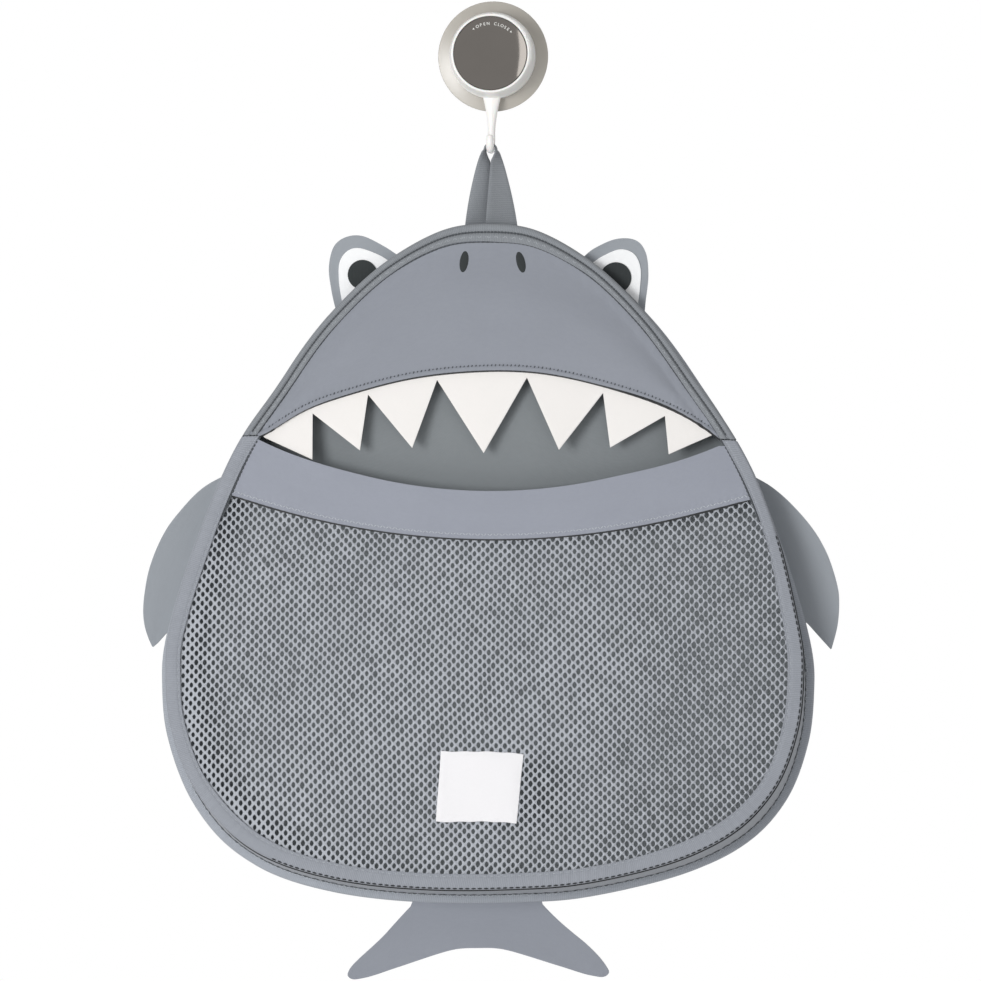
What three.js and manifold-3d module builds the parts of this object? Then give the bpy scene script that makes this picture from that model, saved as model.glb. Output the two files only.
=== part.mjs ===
// Bath toy organizer: a shark-shaped hanging pocket on a twist-lock suction hook.
// Millimetres, +Z up. The origin is the middle of the suction cup, on the wall plane.
// The object faces -Y, and +X is to the right of someone who looks at it.
import * as THREE from 'three';
import { mergeGeometries, mergeVertices } from 'three/addons/utils/BufferGeometryUtils.js';
import Module from 'manifold-3d';

const wasm = await Module();
wasm.setup();

// Clearances
const fit = 0.3; // between pieces that bear on each other
const flapGap = 0.75; // between a sewn flap and the edge that it bends along

// Suction cup and stem
const cupDiameter = 65;
const cupRim = 0.9; // thickness of the lip
const cupRise = 6.2; // height of the outer dome above the lip
const cupHollow = 3; // depth of the hollow that holds the vacuum
const cupWall = 1.6; // under the head of the stem
const sealWidth = 5.5; // flat ring that seals on the wall
const bossDiameter = 18;
const bossCap = 1.4; // cup material over the head of the stem
const stemDiameter = 8;
const stemFlats = 6; // across the two flats that stop the stem turning
const stemHeadDiameter = 12;
const stemHeadThickness = 1.6;
const stemCrown = 1.5; // stem left above the cross pin
const pinDiameter = 2.5;
const pinLength = 16;

// Collar with the hook
const collarDiameter = 50.6;
const collarWall = 2.8;
const collarPlate = 2.3;
const armWidth = 11; // where the arm leaves the collar
const armTaperEnd = 37; // below the origin, where the arm becomes a round bar
const barDiameter = 4.5;
const barDrop = 55.8; // from the origin down to the middle of the hook's bar
const hookGap = 10.5; // clear depth of the hook
const hookBend = 4; // radius of the hook's bends, at the middle of the bar
const tipRise = 8.4; // from the middle of the bar up to the tip

// Knob with its cam, and the disc in its front
const knobBaseDiameter = 50;
const knobFrontDiameter = 46;
const knobRim = 1;
const knobPlate = 2;
const knobLedge = 1.4;
const knobHeadroom = 2.9; // from the top of the stem to the disc's ledge
const discRecess = 2.6;
const discCrown = 0.8; // how far the disc stands out of the knob
const discBevel = 2.1;
const camLift = 3; // travel of the stem from open to closed
const camFoot = 0.9; // the ramp's low end, above the knob's plate
const camWall = 4.4;
const camStop = 2.4; // height of the stops above the ramp
const camTurn = Math.PI / 2; // turn of the knob from closed to open
const camDwell = Math.PI / 8; // level stretch at each end of the ramp

// Cloth, edge tape and hanging loop
const cloth = 2;
const tapeLeg = 1; // thickness of one layer of the folded edge tape
const tapeFold = 1.2; // thickness at the fold of the edge tape
const tapeBand = 8.5; // width of the edge tape seen from the front
const tapeRound = 0.8;
const gussetCloth = 1.8;
const gussetInset = 3; // from the outer edge of the tape to the side wall
const loopWidth = 19;
const loopThickness = 1.4;
const loopGather = 8; // width of the tape where it is gathered in the hook
const loopSpread = 5.4; // from the centre line to the middle of each leg's foot
const loopLayerGap = 0.6; // between the two legs where they cross
const loopTwistRate = 0.8; // under 1, most of the quarter turn is near the hook

// Body, with drops measured from the top of the front edge down the front
const bodyDrop = 98.8; // from the origin down to the top of the front edge
const backDrop = 100.3; // from the origin down to the top of the back edge
const backWidth = 385.6;
const backHeight = 399.5;
const frontWidth = 372.6;
const frontHeight = 391;
const wallGap = 0.5;
const depthTop = 11; // from the wall to the middle of the front cloth, at its top
const depthBottom = 52;
const mouthDrop = 127.2; // corners of the mouth
const lipPeak = 87.5; // middle of the upper lip
const bandTop = 157.5; // middle of the lower lip
const bandBottom = 187.2;
const bandBottomSide = 162.4;

// Right half of the outline, as shares of half the width and of the height
const outlineShares = [
  [0, 0], [0.146, 0.0085], [0.32, 0.0552], [0.503, 0.139], [0.641, 0.2265], [0.765, 0.315],
  [0.905, 0.475], [0.994, 0.625], [1, 0.68], [0.983, 0.7585], [0.911, 0.847],
  [0.718, 0.9355], [0.456, 0.9805], [0, 1],
];

// Teeth, from the middle one outward
const toothWidths = [53, 43.5, 37, 31];
const toothLengths = [48.3, 42, 33.5, 25];
const toothRoot = 3.8; // strip left below the lip between two teeth
const toothSeam = 12; // strip sewn behind the head
const toothCloth = 1.2;

// Net, with coarser gaps than the knitted one
const netPitch = 19;
const netRow = 11.5;
const netStrand = 5;
const netBorder = 2.5;
const netSmallest = 25; // area of the smallest gap that is kept

// Small pieces on the front
const labelWidth = 46.6;
const labelHeight = 40;
const labelRise = 59.5; // middle of the label above the bottom of the front
const labelTurn = 0.03;
const labelCloth = 0.8;
const nostrilWidth = 4.9;
const nostrilHeight = 12.9;
const nostrilSpread = 17; // from the centre line
const nostrilDrop = 22.8;
const nostrilTurn = 0.16;
const nostrilCloth = 0.6;

// Eyes, fins and tail, which are sewn into the back edge
const eyeTop = 16.9; // drops of the two ends of the eye, below the top of the back edge
const eyeBottom = 49.6;
const eyeHeight = 27;
const eyeBorder = 5.3;
const eyeLayer = 0.6;
const pupilDiameter = 18.4;
const pupilAlong = 23; // from the upper end of the eye along its foot
const pupilOut = 3.5;
const finTop = 148.7;
const finBottom = 239.5;
const finReach = 24;
const finTip = 14; // length of the tip below the foot of the fin
const flapCloth = 1.8;
const flapRoot = 14; // hidden part that shapes the foot of a flap
const tailTopWidth = 76;
const tailWidth = 154;
const tailLength = 43.2;
const tailNotch = 26.3; // from the bottom edge of the body down to the fork

// Fineness
const roundSteps = 48; // a multiple of 16, so that the cam's ends fall on it
const barSides = 12;
const bendSteps = 4;
const upperSteps = 28;
const lowerSteps = 44;
const arcSteps = 24;
const legSteps = 10;
const tangentStep = 0.002;

// Heights in the hook, measured from the wall
const headFloor = cupHollow + cupWall;
const headBase = headFloor + fit;
const headTop = headBase + stemHeadThickness;
const bossTop = headTop + fit + bossCap;
const collarFloor = bossTop + fit;
const collarTop = collarFloor + collarPlate;
const knobBase = collarTop + fit;
const rampLow = knobBase + knobPlate + camFoot;
const rampHigh = rampLow + camLift;
const pinHeight = rampHigh + fit + pinDiameter / 2;
const stemTop = pinHeight + pinDiameter / 2 + stemCrown;
const discLedge = stemTop + knobHeadroom;
const knobFront = discLedge + discRecess;
const armHeight = collarTop - barDiameter / 2 - fit;
const hookMiddle = armHeight + (hookGap + barDiameter) / 2;

// Layers of the front, measured outward from the middle of its cloth
const slotHalf = cloth / 2 + fit;
const tapeHalf = slotHalf + tapeLeg;
const clothInset = tapeFold + fit;
const backMiddle = -(wallGap + tapeHalf);
const frontLean = Math.asin((depthBottom - depthTop) / frontHeight);

// Finishes
const finish = (color, roughness, metalness = 0) =>
  new THREE.MeshStandardMaterial({ color, roughness, metalness });
const greyCloth = finish(0x969ba1, 0.85);
const greyTape = finish(0x868b90, 0.8);
const greyNet = finish(0x90959a, 0.75);
const whiteCloth = finish(0xf3f0ea, 0.6);
const darkCloth = finish(0x2f3335, 0.7);
const whitePlastic = finish(0xf4f3ef, 0.3);
const clearVinyl = finish(0xc9c8c2, 0.25);
const darkMirror = finish(0x6b6762, 0.12, 0.9);
const steel = finish(0xb4b6b8, 0.3, 1);

const spread = (from, to, steps) =>
  Array.from({ length: steps + 1 }, (_, i) => from + ((to - from) * i) / steps);
const mirror = ([x, y]) => [-x, y];
const smooth = (share) => share * share * (3 - 2 * share);

// Solids from meshes

function signedVolume(position, index) {
  const [a, b, c] = [new THREE.Vector3(), new THREE.Vector3(), new THREE.Vector3()];
  let total = 0;
  for (let i = 0; i < index.length; i += 3) {
    a.fromBufferAttribute(position, index[i]);
    b.fromBufferAttribute(position, index[i + 1]);
    c.fromBufferAttribute(position, index[i + 2]);
    total += a.dot(b.cross(c)) / 6;
  }
  return total;
}

// One closed skin: corners shared, flat triangles dropped, faces turned outward
function closed(geometry) {
  const bare = new THREE.BufferGeometry();
  bare.setAttribute('position', geometry.getAttribute('position'));
  bare.setIndex(geometry.index);
  const merged = mergeVertices(bare);
  const faces = [];
  for (let i = 0; i < merged.index.count; i += 3) {
    const [a, b, c] = [0, 1, 2].map((k) => merged.index.getX(i + k));
    if (a !== b && b !== c && c !== a) faces.push(a, b, c);
  }
  if (signedVolume(merged.getAttribute('position'), faces) < 0) faces.reverse();
  merged.setIndex(faces);
  return merged;
}

function solid(geometry) {
  const skin = closed(geometry);
  return new wasm.Manifold(new wasm.Mesh({
    numProp: 3,
    vertProperties: new Float32Array(skin.getAttribute('position').array),
    triVerts: new Uint32Array(skin.index.array),
  }));
}

function skinOf(manifold) {
  const mesh = manifold.getMesh();
  const geometry = new THREE.BufferGeometry();
  geometry.setAttribute('position', new THREE.BufferAttribute(mesh.vertProperties, 3));
  geometry.setIndex(new THREE.BufferAttribute(mesh.triVerts, 1));
  return geometry;
}

// A skin stretched over sections with equal numbers of corners, closed in a ring or capped
function loft(sections, ring = false, capOutline = null) {
  const size = sections[0].length;
  const corners = sections.flat().flatMap((p) => [p.x, p.y, p.z]);
  const faces = [];
  const spans = ring ? sections.length : sections.length - 1;
  for (let i = 0; i < spans; i++) {
    const near = i * size;
    const far = ((i + 1) % sections.length) * size;
    for (let j = 0; j < size; j++) {
      const k = (j + 1) % size;
      faces.push(near + j, far + j, far + k, near + j, far + k, near + k);
    }
  }
  if (!ring) {
    const last = (sections.length - 1) * size;
    const turn = THREE.ShapeUtils.area(capOutline);
    for (const [a, b, c] of THREE.ShapeUtils.triangulateShape(capOutline, [])) {
      const same = THREE.ShapeUtils.area([a, b, c].map((n) => capOutline[n])) * turn > 0;
      const [p, q] = same ? [b, c] : [c, b];
      faces.push(a, p, q, last + a, last + q, last + p);
    }
  }
  const geometry = new THREE.BufferGeometry();
  geometry.setAttribute('position', new THREE.Float32BufferAttribute(corners, 3));
  geometry.setIndex(faces);
  return closed(geometry);
}

// A revolved piece; its profile holds radius and height from the wall
function turned(profile) {
  const points = profile.map(([radius, height]) => new THREE.Vector2(radius, height));
  return new THREE.LatheGeometry(points, roundSteps).rotateX(Math.PI);
}

// A flat piece cut to an outline in x and z, from y down to y less the thickness
function cutFlat(points, y, thickness) {
  const shape = new THREE.Shape(points.map(([x, z]) => new THREE.Vector2(x, z)));
  return new THREE.ExtrudeGeometry(shape, { depth: thickness, bevelEnabled: false })
    .rotateX(Math.PI / 2)
    .translate(0, y, 0);
}

// Outline of the body

function outlineCurve() {
  const right = outlineShares.map(
    ([wide, low]) => new THREE.Vector3((wide * backWidth) / 2, low * backHeight, 0),
  );
  const left = right.slice(1, -1).reverse().map((p) => new THREE.Vector3(-p.x, p.y, 0));
  const curve = new THREE.CatmullRomCurve3([...right, ...left], true);
  curve.arcLengthDivisions = 800;
  return curve;
}
const outline = outlineCurve();
const back = { wide: 1, high: 1 };
const front = { wide: frontWidth / backWidth, high: frontHeight / backHeight };

// Point on an outline as x and drop: place 0 is the top, 0.5 the bottom, clockwise
function outlinePoint(body, place) {
  const p = outline.getPointAt(THREE.MathUtils.euclideanModulo(place, 1));
  return new THREE.Vector2(p.x * body.wide, p.y * body.high);
}

function edgePoint(body, place, inset) {
  const along = outlinePoint(body, place + tangentStep)
    .sub(outlinePoint(body, place - tangentStep))
    .normalize();
  const inward = new THREE.Vector2(-along.y, along.x);
  return outlinePoint(body, place).addScaledVector(inward, inset);
}

// Place on the right side where a measure of the edge point turns positive on the way down
function placeWhere(body, inset, measure) {
  let [high, low] = [0, 0.5];
  for (let i = 0; i < 40; i++) {
    const middle = (high + low) / 2;
    if (measure(edgePoint(body, middle, inset)) > 0) low = middle;
    else high = middle;
  }
  return low;
}

const edgeLoop = (body, inset) =>
  spread(0, 1, upperSteps + lowerSteps).slice(0, -1).map((place) => edgePoint(body, place, inset));
const onFront = (p) => [p.x, -p.y];
const onBack = (p) => [p.x, -backDrop - p.y];

// Point of the leaning front in the part's own frame, a height out from the front's cloth
function frontWorld(p, out) {
  const [c, s] = [Math.cos(frontLean), Math.sin(frontLean)];
  return new THREE.Vector3(p.x, -depthTop - p.y * s - out * c, -bodyDrop - p.y * c + out * s);
}

// Drop of a round edge through its middle and one end on each side
function arcEdge(middle, endX, end) {
  const radius = (endX ** 2 + (end - middle) ** 2) / (2 * Math.abs(end - middle));
  const way = Math.sign(end - middle);
  const drop = (x) => middle + way * (radius - Math.sqrt(Math.max(0, radius ** 2 - x ** 2)));
  return { radius, drop };
}

const mouthPlace = placeWhere(front, 0, (p) => p.y - mouthDrop);
const cornerX = edgePoint(front, placeWhere(front, tapeBand, (p) => p.y - mouthDrop), tapeBand).x;
const bandEndPlace = placeWhere(front, tapeBand, (p) => p.y - bandBottomSide);
const bandEndX = edgePoint(front, bandEndPlace, tapeBand).x;
const upperLip = arcEdge(lipPeak, cornerX, mouthDrop);
const lowerLip = arcEdge(bandTop, cornerX, mouthDrop);
const bandFoot = arcEdge(bandBottom, bandEndX, bandBottomSide);

// Places of the front tape's sections, above and below the corners of the mouth
const seamShare = fit / 2 / outline.getLength();
const upperPlaces = spread(-mouthPlace + seamShare, mouthPlace - seamShare, upperSteps);
const lowerPlaces = spread(mouthPlace + seamShare, 1 - mouthPlace - seamShare, lowerSteps);

// Run along the front's edge, with its corners at the tape's sections and at its two ends
function edgeRun(inset, from, to) {
  const between = [...upperPlaces, ...lowerPlaces]
    .filter((place) => place > from + tangentStep && place < to - tangentStep);
  return [from, ...between, to].map((place) => edgePoint(front, place, inset));
}

// Suction hook

// Outer dome of the cup, as a height at a radius
const domeHeight = (radius) => cupRim + cupRise * (1 - (radius / (cupDiameter / 2)) ** 2);

function suctionCup() {
  const rim = cupDiameter / 2;
  const hollow = rim - sealWidth;
  const boss = bossDiameter / 2;
  const inside = spread(0, hollow, 5).map((r) => [r, cupHollow * (1 - (r / hollow) ** 2)]);
  const outside = spread(rim, boss, 6).map((r) => [r, domeHeight(r)]);
  const neck = stemDiameter / 2 + fit;
  const head = stemHeadDiameter / 2 + fit;
  return turned([
    ...inside, [rim, 0], ...outside, [boss, bossTop], [neck, bossTop], [neck, headTop + fit],
    [head, headTop + fit], [head, headFloor], [0, headFloor],
  ]);
}

// Round bar with two flats that face left and right
function flattedBar(diameter, flats, from, to) {
  const reach = Math.acos(flats / diameter);
  const rightSide = spread(reach, Math.PI - reach, 10);
  const angles = [...rightSide, ...rightSide.map((a) => a + Math.PI)];
  const points = angles.map((a) => [(Math.cos(a) * diameter) / 2, (Math.sin(a) * diameter) / 2]);
  return cutFlat(points, -from, to - from);
}

const crossBar = (diameter, length) =>
  new THREE.CylinderGeometry(diameter / 2, diameter / 2, length, barSides)
    .rotateZ(Math.PI / 2)
    .translate(0, -pinHeight, 0);

function cupStem() {
  const head = turned([
    [0, headBase], [stemHeadDiameter / 2, headBase], [stemHeadDiameter / 2, headTop], [0, headTop],
  ]);
  const neck = flattedBar(stemDiameter, stemFlats, headBase, stemTop);
  const hole = crossBar(pinDiameter + 2 * fit, 2 * stemDiameter);
  return skinOf(solid(head).add(solid(neck)).subtract(solid(hole)));
}

// Oval sections along the arm and round the hook, in the plane x = 0
function hookBar() {
  const bar = barDiameter / 2;
  const start = { y: armHeight, z: -collarDiameter / 2 + collarWall, turn: 0, wide: armWidth / 2 };
  const bendZ = -barDrop + hookBend;
  const far = 2 * (hookMiddle - armHeight);
  const stations = [start];
  for (const share of spread(0, 1, 4)) {
    const z = THREE.MathUtils.lerp(-collarDiameter / 2, -armTaperEnd, share);
    const wide = THREE.MathUtils.lerp(armWidth / 2, bar, smooth(share));
    stations.push({ y: armHeight, z, turn: 0, wide });
  }
  for (const [middle, from] of [[hookBend, 0], [far - hookBend, Math.PI / 2]]) {
    for (const turn of spread(from, from + Math.PI / 2, bendSteps)) {
      const y = armHeight + middle - hookBend * Math.cos(turn);
      stations.push({ y, z: bendZ - hookBend * Math.sin(turn), turn, wide: bar });
    }
  }
  const tip = { y: armHeight + far, turn: Math.PI };
  stations.push({ ...tip, z: -barDrop + tipRise - bar / 2, wide: bar });
  stations.push({ ...tip, z: -barDrop + tipRise, wide: bar / 2, thin: bar / 2 });
  const angles = spread(0, 2 * Math.PI, barSides).slice(0, -1);
  const sections = stations.map(({ y, z, turn, wide, thin = bar }) =>
    angles.map((a) => new THREE.Vector3(
      wide * Math.cos(a),
      -y - thin * Math.sin(a) * Math.cos(turn),
      z - thin * Math.sin(a) * Math.sin(turn),
    )));
  const cap = angles.map((a) => new THREE.Vector2(Math.cos(a), Math.sin(a)));
  return loft(sections, false, cap);
}

function hookCollar() {
  const outer = collarDiameter / 2;
  const inner = outer - collarWall;
  const ring = turned([
    [0, collarFloor], [inner, collarFloor], [inner, domeHeight(inner) + fit],
    [outer, domeHeight(outer) + fit], [outer, collarTop - fit], [outer - fit, collarTop],
    [0, collarTop],
  ]);
  const hole = flattedBar(stemDiameter + 2 * fit, stemFlats + 2 * fit, headBase, stemTop);
  return skinOf(solid(ring).add(solid(hookBar())).subtract(solid(hole)));
}

// Ring with two ramps, a level stretch at each ramp's ends and a stop between the ramps
function camRing() {
  const [inner, outer] = [stemDiameter / 2 + 2 * fit, stemDiameter / 2 + 2 * fit + camWall];
  const heightAt = (angle) => rampLow + (camLift * THREE.MathUtils.clamp(angle, 0, camTurn)) / camTurn;
  const step = (2 * Math.PI) / roundSteps;
  const levels = [];
  for (const half of [0, Math.PI]) {
    const steps = Math.round((camTurn + 2 * camDwell) / step);
    for (const angle of spread(-camDwell, camTurn + camDwell, steps)) {
      levels.push([half + angle, heightAt(angle)]);
    }
    for (const angle of spread(camTurn + camDwell, Math.PI - camDwell, Math.round(camDwell / step))) {
      levels.push([half + angle, rampHigh + camStop]);
    }
  }
  const foot = knobBase + knobPlate / 2;
  const sections = levels.map(([angle, top]) =>
    [[inner, foot], [outer, foot], [outer, top], [inner, top]].map(([radius, height]) =>
      new THREE.Vector3(radius * Math.sin(angle), -height, -radius * Math.cos(angle))));
  return loft(sections, true);
}

function twistKnob() {
  const bore = stemDiameter / 2 + 2 * fit;
  const rim = knobFrontDiameter / 2;
  const recess = rim - knobRim;
  const inner = recess - knobLedge;
  const shell = turned([
    [bore, knobBase], [knobBaseDiameter / 2, knobBase], [knobBaseDiameter / 2, knobBase + knobRim],
    [rim, knobFront - knobRim / 2], [rim - knobRim / 2, knobFront], [recess, knobFront],
    [recess, discLedge], [inner, discLedge], [inner, knobBase + knobPlate],
    [bore, knobBase + knobPlate], [bore, knobBase],
  ]);
  return skinOf(solid(shell).add(solid(camRing())));
}

function dialDisc() {
  const rim = knobFrontDiameter / 2 - knobRim - fit;
  const edge = knobFront - knobRim;
  const flat = knobFront + discCrown / 2;
  return turned([
    [0, discLedge + fit], [rim, discLedge + fit], [rim, edge], [rim - discBevel / 2, flat - discCrown / 2],
    [rim - discBevel, flat], [rim / 2, knobFront + 0.8 * discCrown], [0, knobFront + discCrown],
  ]);
}

// Hanging loop: one tape over the hook's bar, whose legs turn a quarter turn and cross at the foot
function hangingLoop() {
  const turnRadius = barDiameter / 2 + fit + loopThickness / 2;
  const [half, thin] = [loopWidth / 2, loopThickness / 2];
  const layer = (loopThickness + loopLayerGap) / 2;
  const footAt = (x) => {
    const place = placeWhere(back, 0, (p) => p.x - Math.abs(x));
    return -backDrop - edgePoint(back, place, 0).y + fit;
  };
  const section = (middle, wide, across) => [[1, 1], [-1, 1], [-1, -1], [1, -1]].map(
    ([w, t]) => middle.clone().addScaledVector(wide, w).addScaledVector(across, t),
  );
  const leg = (side) => spread(0, 1, legSteps).slice(1).map((share) => {
    const turn = (Math.PI / 2) * share ** loopTwistRate;
    const wide = THREE.MathUtils.lerp(loopGather / 2, half, smooth(Math.min(1, 2 * share)));
    const footY = backMiddle - side * layer;
    const middle = new THREE.Vector3(
      side * THREE.MathUtils.lerp(turnRadius, loopSpread, share),
      THREE.MathUtils.lerp(-hookMiddle, footY, smooth(share)),
      THREE.MathUtils.lerp(-barDrop, footAt(0), share),
    );
    const corners = section(
      middle,
      new THREE.Vector3(Math.sin(turn), Math.cos(turn), 0).multiplyScalar(wide),
      new THREE.Vector3(Math.cos(turn), -Math.sin(turn), 0).multiplyScalar(side * thin),
    );
    if (share === 1) corners.forEach((p) => p.setZ(footAt(p.x)));
    return corners;
  });
  const arch = spread(0, Math.PI, 8).map((angle) => {
    const outward = new THREE.Vector3(Math.cos(angle), 0, Math.sin(angle));
    const middle = new THREE.Vector3(0, -hookMiddle, -barDrop).addScaledVector(outward, turnRadius);
    const wide = new THREE.Vector3(0, loopGather / 2, 0);
    return section(middle, wide, outward.multiplyScalar(thin));
  });
  const cap = [[1, 1], [-1, 1], [-1, -1], [1, -1]].map(([x, y]) => new THREE.Vector2(x, y));
  return loft([...leg(1).reverse(), ...arch, ...leg(-1)], false, cap);
}

// Cloth pieces of the body

// Section of the folded edge tape: inset from the outer edge, and height across the cloth
const tapeSection = [
  [tapeRound, -tapeHalf], [0, -tapeHalf + tapeRound], [0, tapeHalf - tapeRound],
  [tapeRound, tapeHalf], [tapeBand, tapeHalf], [tapeBand, slotHalf], [tapeFold, slotHalf],
  [tapeFold, -slotHalf], [tapeBand, -slotHalf], [tapeBand, -tapeHalf],
];
const tapeCap = tapeSection.map(([inset, out]) => new THREE.Vector2(inset, out));

function frontTape(places) {
  const sections = places.map((place) => tapeSection.map(([inset, out]) => {
    const [x, z] = onFront(edgePoint(front, place, inset));
    return new THREE.Vector3(x, -out, z);
  }));
  return loft(sections, false, tapeCap);
}

function backTape() {
  const places = spread(0, 1, upperSteps + lowerSteps).slice(0, -1);
  const sections = places.map((place) => tapeSection.map(([inset, out]) => {
    const [x, z] = onBack(edgePoint(back, place, inset));
    return new THREE.Vector3(x, backMiddle - out, z);
  }));
  return loft(sections, true);
}

// Side wall from behind the front tape to in front of the back tape
function gusset(places) {
  const [outer, inner] = [gussetInset, gussetInset + gussetCloth];
  const sections = places.map((place) => {
    const atFront = (inset) => frontWorld(edgePoint(front, place, inset), -tapeHalf - fit);
    const atBack = (inset) => {
      const [x, z] = onBack(edgePoint(back, place, inset));
      return new THREE.Vector3(x, backMiddle - tapeHalf - fit, z);
    };
    return [atFront(outer), atBack(outer), atBack(inner), atFront(inner)];
  });
  const cap = [[0, 0], [1, 0], [1, 1], [0, 1]].map(([x, y]) => new THREE.Vector2(x, y));
  return loft(sections, false, cap);
}

function backPanel() {
  const points = edgeLoop(back, clothInset).map(onBack);
  return closed(cutFlat(points, backMiddle + cloth / 2, cloth));
}

// Points of a round edge from one side to the other, as far as the drop given for its ends
const lipRun = (lip, ends) => {
  const reach = Math.sqrt(lip.radius ** 2 - (lip.radius - Math.abs(ends - lip.drop(0))) ** 2);
  return spread(reach, -reach, arcSteps).map((x) => new THREE.Vector2(x, lip.drop(x)));
};

function headPanel() {
  const bottom = mouthDrop - fit / 2;
  const place = placeWhere(front, clothInset, (p) => p.y - bottom);
  const rim = edgeRun(clothInset, -place, place);
  return closed(cutFlat([...rim, ...lipRun(upperLip, bottom)].map(onFront), cloth / 2, cloth));
}

// Place where the cloth's edge passes a given height above or below the band's lower edge
const footPlace = (below) =>
  placeWhere(front, clothInset, (p) => p.y - bandFoot.drop(p.x) - below);
const footRun = (below, reach) =>
  spread(-reach, reach, arcSteps).slice(1, -1)
    .map((x) => new THREE.Vector2(x, bandFoot.drop(x) + below));

function lipBand() {
  const top = mouthDrop + fit / 2;
  const from = placeWhere(front, clothInset, (p) => p.y - top);
  const to = footPlace(-fit / 2);
  const rightSide = edgeRun(clothInset, from, to);
  const leftSide = edgeRun(clothInset, 1 - to, 1 - from);
  const foot = footRun(-fit / 2, rightSide.at(-1).x).reverse();
  const lip = lipRun(lowerLip, top).reverse();
  return closed(cutFlat([...rightSide, ...foot, ...leftSide, ...lip].map(onFront), cloth / 2, cloth));
}

function netPocket() {
  const place = footPlace(fit / 2);
  const rim = edgeRun(clothInset, place, 1 - place);
  const sheet = cutFlat([...rim, ...footRun(fit / 2, rim[0].x)].map(onFront), cloth / 2, cloth);
  const inset = tapeBand + netBorder;
  const holeRim = edgeRun(inset, place, 1 - place);
  const open = [...holeRim, ...footRun(netBorder, holeRim[0].x)].map(onFront);
  const region = cutFlat(open, 2 * cloth, 4 * cloth);
  const [halfWide, halfHigh] = [netPitch / 2, netRow];
  const apart = (halfWide * halfHigh) / Math.hypot(halfWide, halfHigh);
  const share = 1 - netStrand / (2 * apart);
  const columns = Math.ceil(frontWidth / netPitch / 2);
  const rows = Math.ceil(frontHeight / netRow);
  const gaps = [];
  for (let row = 0; row < rows; row++) {
    for (let column = -columns; column <= columns; column++) {
      const [x, z] = [(column + (row % 2) / 2) * netPitch, -row * netRow];
      if (-z < bandBottomSide) continue;
      const corners = [[halfWide, 0], [0, halfHigh], [-halfWide, 0], [0, -halfHigh]];
      gaps.push(cutFlat(corners.map(([a, b]) => [x + a * share, z + b * share]), 2 * cloth, 4 * cloth));
    }
  }
  const smallest = netSmallest * 4 * cloth;
  const kept = solid(mergeGeometries(gaps)).intersect(solid(region)).decompose()
    .filter((gap) => gap.volume() > smallest);
  return skinOf(solid(sheet).subtract(wasm.Manifold.union(kept)));
}

// White strip behind the lip; its teeth point at the middle of the lip's circle
function teethStrip() {
  const middle = lipPeak + upperLip.radius;
  const root = upperLip.radius - toothRoot;
  const at = (angle, radius) => [radius * Math.sin(angle), radius * Math.cos(angle) - middle];
  const notches = [toothWidths[0] / 2 / root];
  for (const width of toothWidths.slice(1)) notches.push(notches.at(-1) + width / root);
  const end = notches.at(-1);
  const rightTeeth = [at(0, upperLip.radius - toothLengths[0])];
  notches.forEach((notch, i) => {
    rightTeeth.push(at(notch, root));
    if (i + 1 < notches.length) {
      const tip = (notch + notches[i + 1]) / 2;
      rightTeeth.push(at(tip, upperLip.radius - toothLengths[i + 1]));
    }
  });
  const seam = spread(end, -end, arcSteps).map((angle) => at(angle, upperLip.radius + toothSeam));
  const leftTeeth = rightTeeth.slice(1).reverse().map(mirror);
  const out = -slotHalf;
  const strip = cutFlat([...leftTeeth, ...rightTeeth, ...seam], -out + toothCloth, toothCloth);
  const inside = edgeLoop(front, tapeBand + fit).map(onFront);
  const room = cutFlat(inside, -out + 2 * toothCloth, 3 * toothCloth);
  return skinOf(solid(strip).intersect(solid(room)));
}

function label() {
  const corners = [[-1, 1], [1, 1], [1, -1], [-1, -1]]
    .map(([x, z]) => [(x * labelWidth) / 2, (z * labelHeight) / 2]);
  return closed(cutFlat(corners, 0, labelCloth).rotateY(labelTurn).translate(0, -slotHalf, labelRise - frontHeight));
}

function nostril(side) {
  const angles = spread(0, 2 * Math.PI, 20).slice(0, -1);
  const oval = angles.map((a) => [(nostrilWidth / 2) * Math.cos(a), (nostrilHeight / 2) * Math.sin(a)]);
  return closed(cutFlat(oval, 0, nostrilCloth)
    .rotateY(-side * nostrilTurn)
    .translate(side * nostrilSpread, -slotHalf, -nostrilDrop));
}

// Flaps sewn into the back edge

// Frame of a flap's foot on the right edge: along runs down the edge, out points away from it
function footFrame(top, bottom) {
  const [a, b] = [top, bottom].map((drop) => {
    const place = placeWhere(back, 0, (p) => p.y - drop);
    return new THREE.Vector2(...onBack(edgePoint(back, place, 0)));
  });
  const along = b.clone().sub(a);
  const length = along.length();
  along.normalize();
  const out = new THREE.Vector2(-along.y, along.x);
  const at = ([u, v]) => a.clone().addScaledVector(along, u).addScaledVector(out, v).toArray();
  return { length, at };
}

const bodyRoom = solid(cutFlat(
  edgeLoop(back, -flapGap).map(onBack), depthBottom, 2 * depthBottom,
));

// A flat piece on the right edge, trimmed clear of the body; the left one is its mirror image
function flap(points, y, thickness, side) {
  const piece = skinOf(solid(cutFlat(points, y, thickness)).subtract(bodyRoom));
  return closed(piece.scale(side, 1, 1));
}

const curveThrough = (points, steps) =>
  new THREE.SplineCurve(points.map(([x, y]) => new THREE.Vector2(x, y)))
    .getPoints(steps).map((p) => p.toArray());

const eyeFoot = footFrame(eyeTop, eyeBottom);

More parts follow.
